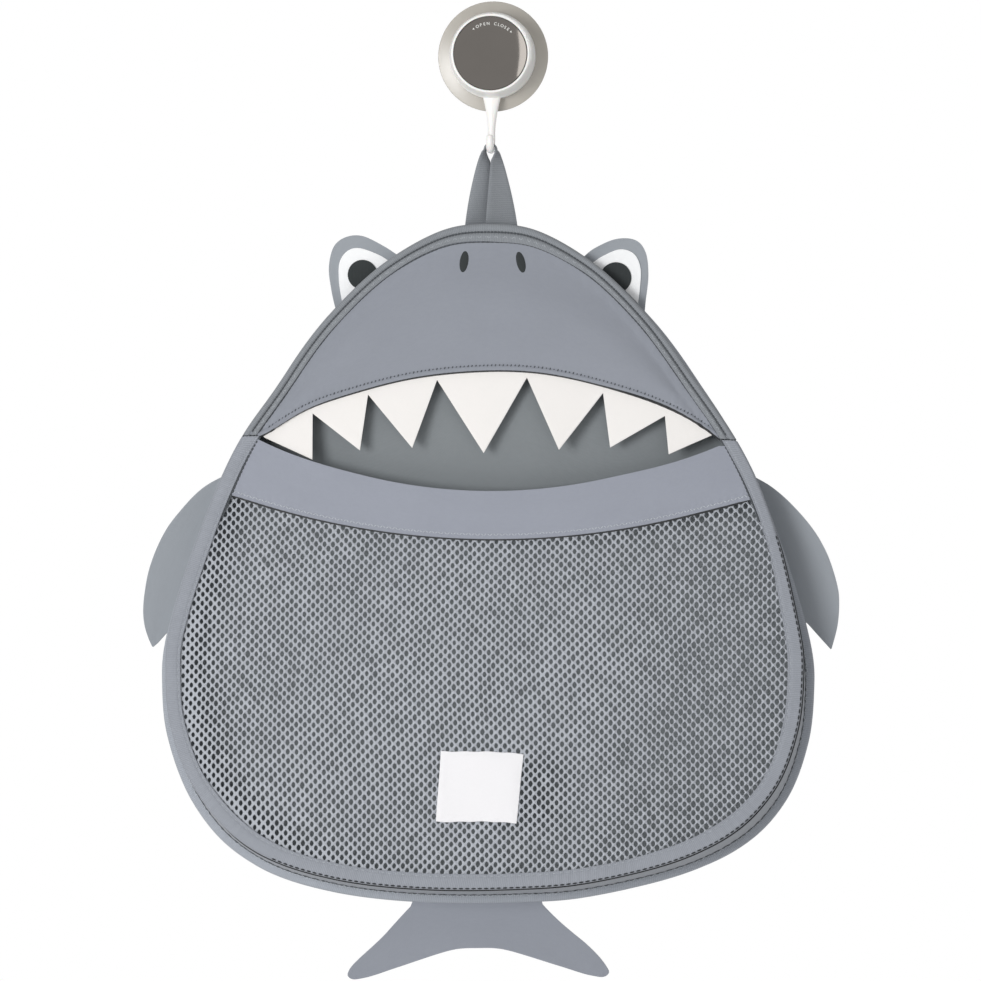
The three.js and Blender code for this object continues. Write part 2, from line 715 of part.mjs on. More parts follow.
// Skewed dome over the foot of the eye, drawn in by a border
function eyeOutline(border) {
  const [length, height] = [eyeFoot.length - 2 * border, eyeHeight - border];
  const dome = [[0, 0], [0.09, 0.52], [0.25, 0.88], [0.5, 1], [0.75, 0.75], [0.92, 0.31], [1, 0]]
    .map(([u, v]) => [border + u * length, v * height]);
  const foot = [[eyeFoot.length - border, -flapRoot], [border, -flapRoot]];
  return [...curveThrough(dome, 24), ...foot].map(eyeFoot.at);
}

function pupilOutline() {
  const angles = spread(0, 2 * Math.PI, 28).slice(0, -1);
  const radius = pupilDiameter / 2;
  return angles
    .map((a) => [pupilAlong + radius * Math.cos(a), pupilOut + radius * Math.sin(a)])
    .map(eyeFoot.at);
}

const flapFace = backMiddle + flapCloth / 2;
const whiteFace = backMiddle - flapCloth / 2 - fit;
const pupilFace = whiteFace - eyeLayer - fit;

const finFoot = footFrame(finTop, finBottom);

function finOutline() {
  const length = finFoot.length + finTip;
  const edge = [
    [0, 0], [0.16, 0.55], [0.36, 0.9], [0.54, 1], [0.7, 0.93], [0.855, 0.7], [0.955, 0.42],
    [1, 0.24], [0.985, 0.14], [0.94, 0.08],
  ].map(([u, v]) => [u * length, v * finReach]);
  const foot = [[finFoot.length, 0], [finFoot.length - flapRoot, -flapRoot], [flapRoot, -flapRoot]];
  return [...curveThrough(edge, 30), ...foot].map(finFoot.at);
}

function tailOutline() {
  const bottom = -backDrop - backHeight;
  const [top, wide] = [tailTopWidth / 2, tailWidth / 2];
  const fork = [[0, tailNotch], [0.21, tailNotch + 1.2], [0.59, tailNotch + 10], [0.88, tailLength - 1.6]]
    .map(([x, drop]) => [x * wide, bottom - drop]);
  const tip = [[0.97, tailLength], [1, tailLength - 1.2], [0.985, tailLength - 5]]
    .map(([x, drop]) => [x * wide, bottom - drop]);
  const side = [[top, bottom], [top - flapRoot / 2, bottom + flapRoot]];
  const right = [...curveThrough(fork, 12), ...tip, ...side];
  return [...right, ...right.slice(1).reverse().map(mirror)];
}

// Assembly

const organizer = new THREE.Group();
const hook = new THREE.Group();
const pocket = new THREE.Group();
const frontPieces = new THREE.Group();
organizer.add(hook, pocket);
pocket.add(frontPieces);
frontPieces.position.set(0, -depthTop, -bodyDrop);
frontPieces.rotation.x = -frontLean;

function place(group, name, geometry, material) {
  const mesh = new THREE.Mesh(geometry, material);
  mesh.name = name;
  group.add(mesh);
}

place(hook, 'suction_cup', closed(suctionCup()), clearVinyl);
place(hook, 'cup_stem', cupStem(), whitePlastic);
place(hook, 'cross_pin', closed(crossBar(pinDiameter, pinLength)), steel);
place(hook, 'hook_collar', hookCollar(), whitePlastic);
place(hook, 'twist_knob', twistKnob(), whitePlastic);
place(hook, 'dial_disc', closed(dialDisc()), darkMirror);
place(pocket, 'hanging_loop', hangingLoop(), greyTape);

place(pocket, 'back_panel', backPanel(), greyCloth);
place(pocket, 'back_binding', backTape(), greyTape);
place(pocket, 'upper_gusset', gusset(upperPlaces), greyCloth);
place(pocket, 'lower_gusset', gusset(lowerPlaces), greyCloth);

place(frontPieces, 'upper_binding', frontTape(upperPlaces), greyTape);
place(frontPieces, 'lower_binding', frontTape(lowerPlaces), greyTape);
place(frontPieces, 'head_panel', headPanel(), greyCloth);
place(frontPieces, 'teeth_strip', teethStrip(), whiteCloth);
place(frontPieces, 'lip_band', lipBand(), greyCloth);
place(frontPieces, 'net_pocket', netPocket(), greyNet);
place(frontPieces, 'label', label(), whiteCloth);

for (const [name, side] of [['left', -1], ['right', 1]]) {
  place(frontPieces, `${name}_nostril`, nostril(side), darkCloth);
  place(pocket, `${name}_eye_tab`, flap(eyeOutline(0), flapFace, flapCloth, side), greyCloth);
  place(pocket, `${name}_eye_white`, flap(eyeOutline(eyeBorder), whiteFace, eyeLayer, side), whiteCloth);
  place(pocket, `${name}_pupil`, flap(pupilOutline(), pupilFace, eyeLayer, side), darkCloth);
  place(pocket, `${name}_fin`, flap(finOutline(), flapFace, flapCloth, side), greyCloth);
}
place(pocket, 'tail_fin', flap(tailOutline(), flapFace, flapCloth, 1), greyCloth);

export default organizer;
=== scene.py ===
import math

import bpy
import numpy as np
from mathutils import Matrix, Vector


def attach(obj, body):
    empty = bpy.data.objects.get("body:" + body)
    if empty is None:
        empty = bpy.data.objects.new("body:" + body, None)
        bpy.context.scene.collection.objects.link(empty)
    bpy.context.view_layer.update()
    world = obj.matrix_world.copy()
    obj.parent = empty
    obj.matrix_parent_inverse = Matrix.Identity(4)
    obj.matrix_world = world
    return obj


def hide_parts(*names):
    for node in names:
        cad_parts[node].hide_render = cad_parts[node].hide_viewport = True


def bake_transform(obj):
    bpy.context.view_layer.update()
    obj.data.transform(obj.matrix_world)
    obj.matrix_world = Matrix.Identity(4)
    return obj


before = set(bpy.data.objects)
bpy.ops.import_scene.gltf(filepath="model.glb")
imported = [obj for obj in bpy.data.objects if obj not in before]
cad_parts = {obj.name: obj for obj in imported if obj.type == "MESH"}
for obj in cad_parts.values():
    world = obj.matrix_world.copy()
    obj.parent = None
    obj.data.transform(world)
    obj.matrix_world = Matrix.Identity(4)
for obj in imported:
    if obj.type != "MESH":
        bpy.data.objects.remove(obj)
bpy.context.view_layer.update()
mm = 0.001
chance = np.random.default_rng(11)


# outline of the body, in mm: x, and drop below the top

body = {
    "backWidth": 385.6, "backHeight": 399.5, "backDrop": 100.3, "backMiddle": -2.8,
    "frontWidth": 372.6, "frontHeight": 391.0, "frontDrop": 98.8, "depthTop": 11.0, "depthBottom": 52.0,
    "clothInset": 1.5, "clothThick": 2.0, "tapeBand": 8.5,
    "shares": [[0, 0], [0.146, 0.0085], [0.32, 0.0552], [0.503, 0.139], [0.641, 0.2265], [0.765, 0.315],
               [0.905, 0.475], [0.994, 0.625], [1, 0.68], [0.983, 0.7585], [0.911, 0.847], [0.718, 0.9355],
               [0.456, 0.9805], [0, 1]],
}
mouth = {  # drops below the top of the front; lipSag is a share of the half width, and a rise
    "corner": 127.2, "upperLip": 87.5, "lowerLip": 158.5, "bandFoot": 187.2, "bandEnd": 162.4, "gap": 0.15,
    "rightSag": 3.2, "rightFrom": (70, 65), "leftSag": 1.6, "leftFrom": (70, 60), "sagTerms": 11,
    "lipSag": [[-1, -0.6], [-0.98, -1.6], [-0.925, -1.3], [-0.87, -0.5], [-0.82, 0.0], [-0.76, -0.4],
               [-0.71, -1.0], [-0.6, -1.4], [-0.45, -1.6], [-0.29, -1.5], [-0.18, -1.2], [-0.08, -1.0],
               [0, -0.6], [0.08, -0.2], [0.19, 0.1], [0.34, 0.1], [0.45, 0.35], [0.61, 0.8], [0.72, 1.1],
               [0.82, 1.9], [0.875, 1.85], [0.93, 1.05], [1, 0]],
}
hang = {  # how the worn-in cloth hangs askew; a pair is where a change starts, and its length
    "tip": 0.026, "tipReach": 130.0, "tipFrom": (400.0, 80.0), "tailShift": 3.6, "tailFrom": (470, 35),
    "cheek": 1.6, "cheekFrom": (72, 55), "cheekTo": (140, 35),
    "fullCheek": 3.3, "fullFrom": (85, 65), "fullTo": (165, 75), "fullDepth": (6, 12), "fullAcross": (118, 40),
    "pulls": [(160.0, -459.0, 1.6, -1.35, 20.0), (-157.0, -465.0, -0.75, -0.7, 15.0),
              (-182.0, -428.0, 0.6, 0.3, 14.0), (52.0, -498.0, 0.0, -0.9, 16.0),
              (-131.0, -203.0, 1.45, -0.9, 17.0), (-38.0, -109.0, 0.0, -0.8, 20.0),
              (38.0, -109.0, 0.0, -0.8, 20.0)],
}


def smooth(share):
    share = np.clip(share, 0, 1)
    return share * share * (3 - 2 * share)


def ramp(value, start, length):
    return smooth((value - start) / length)


def outlineLoop():
    right = np.array(body["shares"]) * [body["backWidth"] / 2, body["backHeight"]]
    knots = np.vstack([right, right[-2:0:-1] * [-1, 1]])
    count, runs = len(knots), []
    share = np.linspace(0, 1, 80, endpoint=False)[:, None]
    for i in range(count):
        before, start, end, after = (knots[(i + k) % count] for k in (-1, 0, 1, 2))
        d0, d1, d2 = (np.linalg.norm(b - a) ** 0.5 for a, b in ((before, start), (start, end), (end, after)))
        leave = ((start - before) / d0 - (end - before) / (d0 + d1) + (end - start) / d1) * d1
        arrive = ((end - start) / d1 - (after - start) / (d1 + d2) + (after - end) / d2) * d1
        runs.append(start + leave * share + (-3 * start + 3 * end - 2 * leave - arrive) * share ** 2
                    + (2 * start - 2 * end + leave + arrive) * share ** 3)
    loop = np.vstack(runs + [knots[:1]])
    return loop, runLength(loop)


def runLength(path):  # length from the start of a path to each of its points
    return np.concatenate([[0], np.cumsum(np.linalg.norm(np.diff(path, axis=0), axis=1))])


loop, loopLength = outlineLoop()
edgeLength = loopLength[-1]
back = np.array([1.0, 1.0])
front = np.array([body["frontWidth"] / body["backWidth"], body["frontHeight"] / body["backHeight"]])
lean = math.asin((body["depthBottom"] - body["depthTop"]) / body["frontHeight"])


def outlineAt(side, place):  # place 0 is the top, 0.5 the bottom, clockwise
    along = np.mod(np.asarray(place, float), 1) * edgeLength
    x, drop = (np.interp(along, loopLength, loop[:, k]) * side[k] for k in (0, 1))
    if side is back:  # the right cheek is pulled in behind the front tape
        x = x - hang["cheek"] * (x > 0) * ramp(drop, *hang["cheekFrom"]) * (1 - ramp(drop, *hang["cheekTo"]))
    return np.stack([x, drop], -1)


def alongAt(side, place, near=0.002):
    step = outlineAt(side, np.asarray(place) + near) - outlineAt(side, np.asarray(place) - near)
    return step / np.linalg.norm(step, axis=-1, keepdims=True)


def edgeAt(side, place, inset):
    along = alongAt(side, place)
    inward = np.stack([-along[..., 1], along[..., 0]], -1)
    return outlineAt(side, place) + inward * np.asarray(inset)[..., None]


def edgeDrops(side, inset):  # drop of the upper and the lower edge at a distance from the middle
    points = edgeAt(side, np.linspace(0, 0.5, 3000), inset)
    widest = int(np.argmax(points[:, 0]))
    upper, lower = points[:widest + 1], points[widest:][::-1]
    return (lambda x: np.interp(np.abs(x), upper[:, 0], upper[:, 1]),
            lambda x: np.interp(np.abs(x), lower[:, 0], lower[:, 1]), points[widest, 0])


def placeWhere(side, inset, drop):
    places = np.linspace(0, 0.5, 6000)
    return float(np.interp(drop, edgeAt(side, places, inset)[:, 1], places))


def halfWidth(inset, drop):  # half width of the front at a drop
    return float(edgeAt(front, placeWhere(front, inset, drop), inset)[0])


def onFront(x, drop, out):  # point of the leaning front, a height out from the cloth
    x, drop, out = np.broadcast_arrays(*(np.asarray(v, float) for v in (x, drop, out)))
    c, s = math.cos(lean), math.sin(lean)
    return np.stack([x, -body["depthTop"] - drop * s - out * c, -body["frontDrop"] - drop * c + out * s], -1)


def onBack(x, drop, out):
    x, drop, out = np.broadcast_arrays(*(np.asarray(v, float) for v in (x, drop, out)))
    return np.stack([x, body["backMiddle"] - out, -body["backDrop"] - drop], -1)


def arcEdge(middle, endX, end):
    radius = (endX ** 2 + (end - middle) ** 2) / (2 * abs(end - middle))
    way = math.copysign(1, end - middle)
    return radius, lambda x: middle + way * (radius - np.sqrt(np.maximum(0, radius ** 2 - np.asarray(x) ** 2)))


def settle(points):
    moved = np.array(points, float)
    low = ramp(-moved[..., 2], *hang["tipFrom"])
    moved[..., 2] += hang["tip"] * np.clip(moved[..., 0], -hang["tipReach"], hang["tipReach"]) * low
    moved[..., 0] -= hang["tailShift"] * ramp(-points[..., 2], *hang["tailFrom"])
    depth, drop = -points[..., 1], -points[..., 2] - body["frontDrop"]
    cheek = ramp(drop, *hang["fullFrom"]) * (1 - ramp(drop, *hang["fullTo"])) * ramp(depth, *hang["fullDepth"])
    moved[..., 0] += hang["fullCheek"] * cheek * ramp(points[..., 0], *hang["fullAcross"])  # fuller on the right
    for x, z, moveX, moveZ, reach in hang["pulls"]:  # the edge is sewn out or in a little at these places
        near = np.exp(-((points[..., 0] - x) ** 2 + (points[..., 2] - z) ** 2) / (2 * reach ** 2))
        moved[..., 0] += moveX * near
        moved[..., 2] += moveZ * near
    return moved


mouthPlace = placeWhere(front, 0, mouth["corner"])
cornerX = halfWidth(body["tapeBand"], mouth["corner"])
bandEndX = halfWidth(body["tapeBand"], mouth["bandEnd"])
lipRadius, lipArc = arcEdge(mouth["upperLip"], cornerX, mouth["corner"])
lowerArc = arcEdge(mouth["lowerLip"], cornerX, mouth["corner"])[1]
bandFoot = arcEdge(mouth["bandFoot"], bandEndX, mouth["bandEnd"])[1]
lipCurve = np.polynomial.Chebyshev.fit(*np.array(mouth["lipSag"]).T, mouth["sagTerms"], domain=[-1, 1])


def lipRise(x):  # the lip hangs lower on the left, and is fuller at the right corner
    return lipCurve(np.clip(np.asarray(x, float) / cornerX, -1, 1))


def upperLip(x):
    return lipArc(x) - lipRise(x)


def lowerLip(x):  # its ends hang below the corners of the mouth
    x = np.asarray(x, float)
    sag = mouth["rightSag"] * ramp(x, *mouth["rightFrom"]) + mouth["leftSag"] * ramp(-x, *mouth["leftFrom"])
    return np.where(np.abs(x) < cornerX, lowerArc(x), mouth["corner"] + mouth["gap"]) + sag


def spreadAcross(widest, count, share):  # columns from side to side, closer at the ends
    return widest * np.sin(np.linspace(-1, 1, count) * math.pi / 2 * share) / math.sin(math.pi / 2 * share)


# materials

fullTurn = 6.2832  # radians of one thread


def srgb(red, green, blue):
    linear = (((v / 255 + 0.055) / 1.055) ** 2.4 if v > 10 else v / 255 / 12.92 for v in (red, green, blue))
    return tuple(linear) + (1,)


def addNode(tree, kind, values=None, **settings):
    node = tree.nodes.new(kind)
    for name, value in settings.items():
        setattr(node, name, value)
    for name, value in (values or {}).items():
        node.inputs[name].default_value = value
    return node


def newGroup(name, takes, gives):
    group = bpy.data.node_groups.new(name, "ShaderNodeTree")
    for label, kind, value in takes:
        socket = group.interface.new_socket(label, in_out="INPUT", socket_type="NodeSocket" + kind)
        if value is not None:
            socket.default_value = value
    for label, kind in gives:
        group.interface.new_socket(label, in_out="OUTPUT", socket_type="NodeSocket" + kind)
    return group, group.nodes.new("NodeGroupInput").outputs, group.nodes.new("NodeGroupOutput").inputs


def mathNode(tree, operation, first, second=None, third=None):
    node = addNode(tree, "ShaderNodeMath", operation=operation)
    for socket, value in zip(node.inputs, (first, second, third)):
        if value is None:
            continue
        if isinstance(value, (int, float)):
            socket.default_value = value
        else:
            tree.links.new(value, socket)
    return node.outputs[0]


def scaleNode(tree, vector, factor):  # a vector or a colour times a value
    node = addNode(tree, "ShaderNodeVectorMath", operation="SCALE")
    tree.links.new(vector, node.inputs[0])
    tree.links.new(factor, node.inputs["Scale"])
    return node.outputs[0]


def noiseNode(tree, vector, **values):
    node = addNode(tree, "ShaderNodeTexNoise", values)
    tree.links.new(vector, node.inputs["Vector"])
    return node.outputs[0]


def splitNode(tree, vector):
    node = addNode(tree, "ShaderNodeSeparateXYZ")
    tree.links.new(vector, node.inputs[0])
    return node.outputs


def clothGroup(name, pattern, count):
    takes = [("Vector", "Vector", None), ("Colour", "Color", (0.3, 0.3, 0.3, 1)), (pattern, "Float", count),
             ("ReliefShade", "Float", 0.2), ("Tone", "Float", 0.1)]
    return newGroup(name, takes, [("Colour", "Color"), ("Height", "Float")])


def clothTone(group, start, end, height, level, slow):  # high threads are painted paler and low ones darker, a painted shade between threads, and the tone drifts slowly
    threadShade = mathNode(group, "MULTIPLY", mathNode(group, "SUBTRACT", height, level), start["ReliefShade"])
    slowTone = mathNode(group, "MULTIPLY", mathNode(group, "SUBTRACT", slow, 0.5), start["Tone"])
    tone = mathNode(group, "ADD", mathNode(group, "ADD", threadShade, slowTone), 1.0)
    group.links.new(scaleNode(group, start["Colour"], tone), end["Colour"])
    group.links.new(height, end["Height"])
    return group


def weaveGroup():  # knitted or woven cloth: crossing threads, slubs and a slow change of tone, with painted shade between the threads
    group, start, end = clothGroup("clothWeave", "Threads", 1000.0)
    grid = scaleNode(group, start["Vector"], start["Threads"])
    split = splitNode(group, grid)
    warp, weft = (mathNode(group, "SINE", mathNode(group, "MULTIPLY", split[k], fullTurn)) for k in (0, 1))
    cross = mathNode(group, "MULTIPLY_ADD", mathNode(group, "MULTIPLY", warp, weft), 0.5, 0.5)
    slub = noiseNode(group, grid, Scale=0.35, Detail=2.0, Roughness=0.6)
    slow = noiseNode(group, start["Vector"], Scale=28.0, Detail=3.0, Roughness=0.55)
    return clothTone(group, start, end, mathNode(group, "MULTIPLY_ADD", slub, 0.7, cross), 0.85, slow)


def ribGroup():  # woven tape: ribs across its length, a fine edge cord and scuffed tone, with painted shade between the ribs
    group, start, end = clothGroup("tapeRibs", "Ribs", 800.0)
    split = splitNode(group, start["Vector"])
    turn = mathNode(group, "MULTIPLY", mathNode(group, "MULTIPLY", split[0], start["Ribs"]), fullTurn)
    cord = mathNode(group, "SINE", mathNode(group, "MULTIPLY", split[1], 5200.0))
    bent = mathNode(group, "MULTIPLY_ADD", cord, 0.9, turn)
    rib = mathNode(group, "MULTIPLY_ADD", mathNode(group, "SINE", bent), 0.5, 0.5)
    slow = noiseNode(group, start["Vector"], Scale=60.0, Detail=3.0, Roughness=0.6)
    fuzz = noiseNode(group, start["Vector"], Scale=1400.0, Detail=1.0)
    return clothTone(group, start, end, mathNode(group, "MULTIPLY_ADD", fuzz, 0.5, rib), 0.75, slow)


def wearGroup():  # handled plastic or metal: faint cloudy tone, finger smears and fine grain
    group, start, end = newGroup("handledFinish", [
        ("Vector", "Vector", None), ("Colour", "Color", (0.8, 0.8, 0.8, 1)), ("Rough", "Float", 0.3),
        ("Smear", "Float", 0.1), ("Tone", "Float", 0.05)],
        [("Colour", "Color"), ("Roughness", "Float"), ("Height", "Float")])
    cloud = noiseNode(group, start["Vector"], Scale=55.0, Detail=4.0, Roughness=0.6)
    grain = noiseNode(group, start["Vector"], Scale=2600.0, Detail=2.0)
    centred = mathNode(group, "SUBTRACT", cloud, 0.5)
    tone = mathNode(group, "MULTIPLY_ADD", centred, start["Tone"], 1.0)
    group.links.new(mathNode(group, "MULTIPLY_ADD", centred, start["Smear"], start["Rough"]), end["Roughness"])
    group.links.new(scaleNode(group, start["Colour"], tone), end["Colour"])
    group.links.new(grain, end["Height"])
    return group


weave, ribs, handled = weaveGroup(), ribGroup(), wearGroup()


def newFinish(name, colour, group, values, bump, coords, **sockets):
    material = bpy.data.materials.new(name)
    material.use_nodes = True
    material.diffuse_color = srgb(*colour)
    tree = material.node_tree
    shader = tree.nodes["Principled BSDF"]
    for label, value in sockets.items():
        shader.inputs[label.replace("_", " ")].default_value = value
    place = addNode(tree, "ShaderNodeTexCoord")
    effect = addNode(tree, "ShaderNodeGroup", node_tree=group)
    for label, value in [("Colour", srgb(*colour)), *values.items()]:
        effect.inputs[label].default_value = value
    relief = addNode(tree, "ShaderNodeBump", {"Strength": bump[0], "Distance": bump[1] * mm})
    tree.links.new(place.outputs[coords], effect.inputs["Vector"])
    tree.links.new(effect.outputs["Colour"], shader.inputs["Base Color"])
    if "Roughness" in effect.outputs:
        tree.links.new(effect.outputs["Roughness"], shader.inputs["Roughness"])
    tree.links.new(effect.outputs["Height"], relief.inputs["Height"])
    tree.links.new(relief.outputs[0], shader.inputs["Normal"])
    return material


def clothFinish(name, colour, group, values, bump, coords, roughness):
    return newFinish(name, colour, group, values, bump, coords, Roughness=roughness, Sheen_Weight=0.15,
                     Sheen_Roughness=0.5, Specular_IOR_Level=0.25)


def wovenCloth(name, colour, threads=1100.0, relief=0.1, tone=0.1, bump=(0.35, 0.12), roughness=0.88, coords="UV"):
    values = {"Threads": threads, "ReliefShade": relief, "Tone": tone}
    return clothFinish(name, colour, weave, values, bump, coords, roughness)


def wovenTape(name, colour, relief=0.22, tone=0.14):
    values = {"Ribs": 900.0, "ReliefShade": relief, "Tone": tone}
    return clothFinish(name, colour, ribs, values, (0.6, 0.2), "UV", 0.88)


def sewingThread(name, colour):
    return wovenCloth(name, colour, 2500.0, 0.3, 0.1, (0.4, 0.08), 0.7, "Object")


def hardFinish(name, colour, rough, smear, tone, bump=(0.1, 0.02), **sockets):
    values = {"Rough": rough, "Smear": smear, "Tone": tone}
    return newFinish(name, colour, handled, values, bump, "Object", **sockets)


greyCloth = wovenCloth("greyCloth", (147, 151, 160))
# painted light: paler than the head's grey cloth, so the lip band reads more lit than the head
bandClothPaintedLight = wovenCloth("bandClothPaintedLight", (154, 158, 169))
# painted light: paler than the grey cloth, so the fins and eye tabs read lighter in spite of the body's shade
finClothPaintedLight = wovenCloth("finClothPaintedLight", (157, 162, 168))
# painted light: much paler than the grey cloth, so the side wall, recessed in shade, reads lit
sideClothPaintedLight = wovenCloth("sideClothPaintedLight", (170, 174, 181), relief=0.12)
# painted shade: darker than the grey cloth, for the shade inside the pocket seen through the mouth and the net
backClothPaintedShade = wovenCloth("backClothPaintedShade", (135, 140, 143), relief=0.12, tone=0.08)
toothCloth = wovenCloth("toothCloth", (245, 242, 239), 1400.0, 0.03, 0.04, (0.2, 0.08), 0.75)
eyeCloth = wovenCloth("eyeCloth", (252, 253, 254), 1400.0, 0.03, 0.03, (0.2, 0.08), 0.75)
labelCloth = wovenCloth("labelCloth", (244, 243, 245), 2200.0, 0.05, 0.03, (0.3, 0.06), 0.7)
greyNet = wovenCloth("greyNet", (181, 185, 192), 1500.0, 0.25, 0.12, (0.3, 0.1), coords="Object")
darkCloth = wovenCloth("darkCloth", (54, 58, 59), 1200.0, 0.2, 0.2, (0.4, 0.12), coords="Object")
# dark foam core of the cut edges; the same dark cloth is painted shade in the crack beside the side wall
foamEdgeAndCrackShade = wovenCloth("foamEdgeAndCrackShade", (40, 42, 44), 900.0, 0.3, 0.2, (0.4, 0.1), 0.9, "Object")
greyTape = wovenTape("greyTape", (154, 158, 166))
headTape = wovenTape("headTape", (141, 145, 150), 0.28, 0.16)
# painted light: paler than the grey tape, so the back binding, shaded by the pocket, reads lit
backTapePaintedLight = wovenTape("backTapePaintedLight", (171, 176, 184))
strapTape = wovenTape("strapTape", (142, 146, 151))
paleThread = sewingThread("paleThread", (172, 177, 182))
# a paler copy of the pale thread, raised as painted light for stitches that sit in shade
brightThreadPaintedLight = sewingThread("brightThreadPaintedLight", (190, 195, 200))
deepThread = sewingThread("deepThread", (50, 53, 56))
darkThread = sewingThread("darkThread", (80, 84, 88))
whitePlastic = hardFinish("whitePlastic", (248, 247, 244), 0.3, 0.12, 0.03,
                          Subsurface_Weight=0.1, Subsurface_Scale=0.002, IOR=1.46)
clearVinyl = hardFinish("clearVinyl", (181, 176, 167), 0.3, 0.12, 0.08,
                        Transmission_Weight=0.15, IOR=1.5, Coat_Weight=0.4, Coat_Roughness=0.3)
dialMirror = hardFinish("dialMirror", (110, 106, 102), 0.035, 0.02, 0.1, (0.02, 0.01), Metallic=1.0)
dialInk = hardFinish("dialInk", (236, 236, 232), 0.5, 0.1, 0.04)
pinSteel = hardFinish("pinSteel", (196, 197, 199), 0.28, 0.15, 0.06, Metallic=1.0)
print("materials ready")


# working steps shared by the pieces

def alone(piece=None):
    if bpy.context.object and bpy.context.object.mode != "OBJECT":
        bpy.ops.object.mode_set(mode="OBJECT")
    bpy.ops.object.select_all(action="DESELECT")
    if piece:
        piece.select_set(True)
        bpy.context.view_layer.objects.active = piece


def added(name):  # the object that an operator just made
    piece = bpy.context.object
    piece.name = piece.data.name = name
    return piece


def editAll(piece):
    alone(piece)
    bpy.ops.object.mode_set(mode="EDIT")
    bpy.ops.mesh.select_all(action="SELECT")


def applyModifier(piece, kind, **settings):
    alone(piece)
    modifier = piece.modifiers.new(kind.lower(), kind)
    for name, value in settings.items():
        setattr(modifier, name, value)
    bpy.ops.object.modifier_apply(modifier=modifier.name)


def softEdges(piece, angle=38):
    alone(piece)
    bpy.ops.object.shade_smooth_by_angle(angle=math.radians(angle))


def closeUp(piece):  # merge doubles, then face outwards
    editAll(piece)
    bpy.ops.mesh.remove_doubles(threshold=0.01 * mm)
    bpy.ops.mesh.normals_make_consistent(inside=False)
    bpy.ops.object.mode_set(mode="OBJECT")


def capEnds(piece):  # fill the open ends
    alone(piece)
    bpy.ops.object.mode_set(mode="EDIT")
    bpy.ops.mesh.select_all(action="DESELECT")
    bpy.ops.mesh.select_mode(type="EDGE")
    bpy.ops.mesh.select_non_manifold()
    bpy.ops.mesh.fill()
    bpy.ops.object.mode_set(mode="OBJECT")


def wear(piece, *materials):
    piece.data.materials.clear()
    for material in materials:
        piece.data.materials.append(material)


def dress(piece, finish, angle):
    wear(piece, finish)
    softEdges(piece, angle)


def putPoints(piece, points):
    piece.data.vertices.foreach_set("co", (points.reshape(-1, 3) * mm).astype(np.float32).ravel())


def newPiece(name, points, faces):
    mesh = bpy.data.meshes.new(name)
    mesh.from_pydata((points * mm).tolist(), [], faces)
    piece = bpy.data.objects.new(name, mesh)
    bpy.context.scene.collection.objects.link(piece)
    return piece


def sewIn(piece, node=None):  # what is sewn to the pocket rides on it
    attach(piece, "organiser")
    if node:
        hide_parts(node)


def gridPiece(name, points, flat):  # a grid is added, then its points are pulled to the cut cloth
    rows, columns = points.shape[:2]
    alone()
    bpy.ops.mesh.primitive_grid_add(x_subdivisions=columns - 1, y_subdivisions=rows - 1, size=1, calc_uvs=True)
    piece = added(name)
    putPoints(piece, points)
    layer = piece.data.uv_layers.active.data
    uv = np.zeros(len(layer) * 2, np.float32)
    layer.foreach_get("uv", uv)
    uv = (uv.reshape(-1, 2) * np.array(flat) * mm).astype(np.float32)  # the cloth's own measure in metres
    layer.foreach_set("uv", uv.ravel())
    piece.data.update()
    return piece


def gridArea(points):
    a, b = points[1:, 1:] - points[:-1, :-1], points[1:, :-1] - points[:-1, 1:]
    return float(np.linalg.norm(np.cross(a, b), axis=-1).sum() / 2) * mm * mm


def shownArea(flat, area):  # cut shapes fill at least this share of their flat size
    return max(area, 0.31 * flat[0] * flat[1])


def clothPiece(name, points, thick, finish, edge, rim=None, slant=None):
    points = settle(points)
    spans = np.ptp(points.reshape(-1, 3), axis=0)
    flat = float(spans[0]), float(max(spans[2], spans[1]))
    piece = gridPiece(name, points, flat)
    wear(piece, finish, *([rim] if rim else []))
    applyModifier(piece, "SOLIDIFY", thickness=thick * mm, offset=0, use_even_offset=True,
                  material_offset_rim=1 if rim else 0)
    if slant:  # the cut edge of the first row slopes, so the foam in it shows from the front
        rows, columns = points.shape[:2]
        near, far = ([piece.data.vertices[first + i] for i in range(columns)] for first in (0, rows * columns))
        for vertex in near if near[0].co.y < far[0].co.y else far:
            vertex.co.z += slant(vertex.co.x / mm) * mm
    if edge:
        applyModifier(piece, "BEVEL", width=edge * mm, segments=2, limit_method="ANGLE", angle_limit=math.radians(55))
    softEdges(piece)
    area = gridArea(points)
    width, height = flat[0] * mm, flat[1] * mm
    return piece, (width, max(height, area / width)), area


def tubePiece(name, sections, ring, flat, finish):  # closed sections, one after another along the edge
    sections = settle(sections)
    loops = np.concatenate([sections, sections[:, :1]], 1)
    if ring:
        loops = np.concatenate([loops, loops[:1]], 0)
    piece = gridPiece(name, loops.transpose(1, 0, 2), flat)
    closeUp(piece)
    if not ring:
        capEnds(piece)
        closeUp(piece)
    dress(piece, finish, 45)
    return piece


def stitchShape():  # one stitch, copied along every row
    alone()
    bpy.ops.mesh.primitive_uv_sphere_add(segments=6, ring_count=4, radius=1, rotation=(0, math.pi / 2, 0))
    bpy.ops.object.transform_apply(location=False, rotation=True, scale=False)
    stitch = bpy.context.object
    points = np.array([v.co for v in stitch.data.vertices])
    points[:, 2] -= 0.5 * points[:, 0] ** 2  # its ends dive into the cloth
    faces = [list(p.vertices) for p in stitch.data.polygons]
    bpy.data.objects.remove(stitch)
    return points, faces


stitchPoints, stitchFaces = stitchShape()


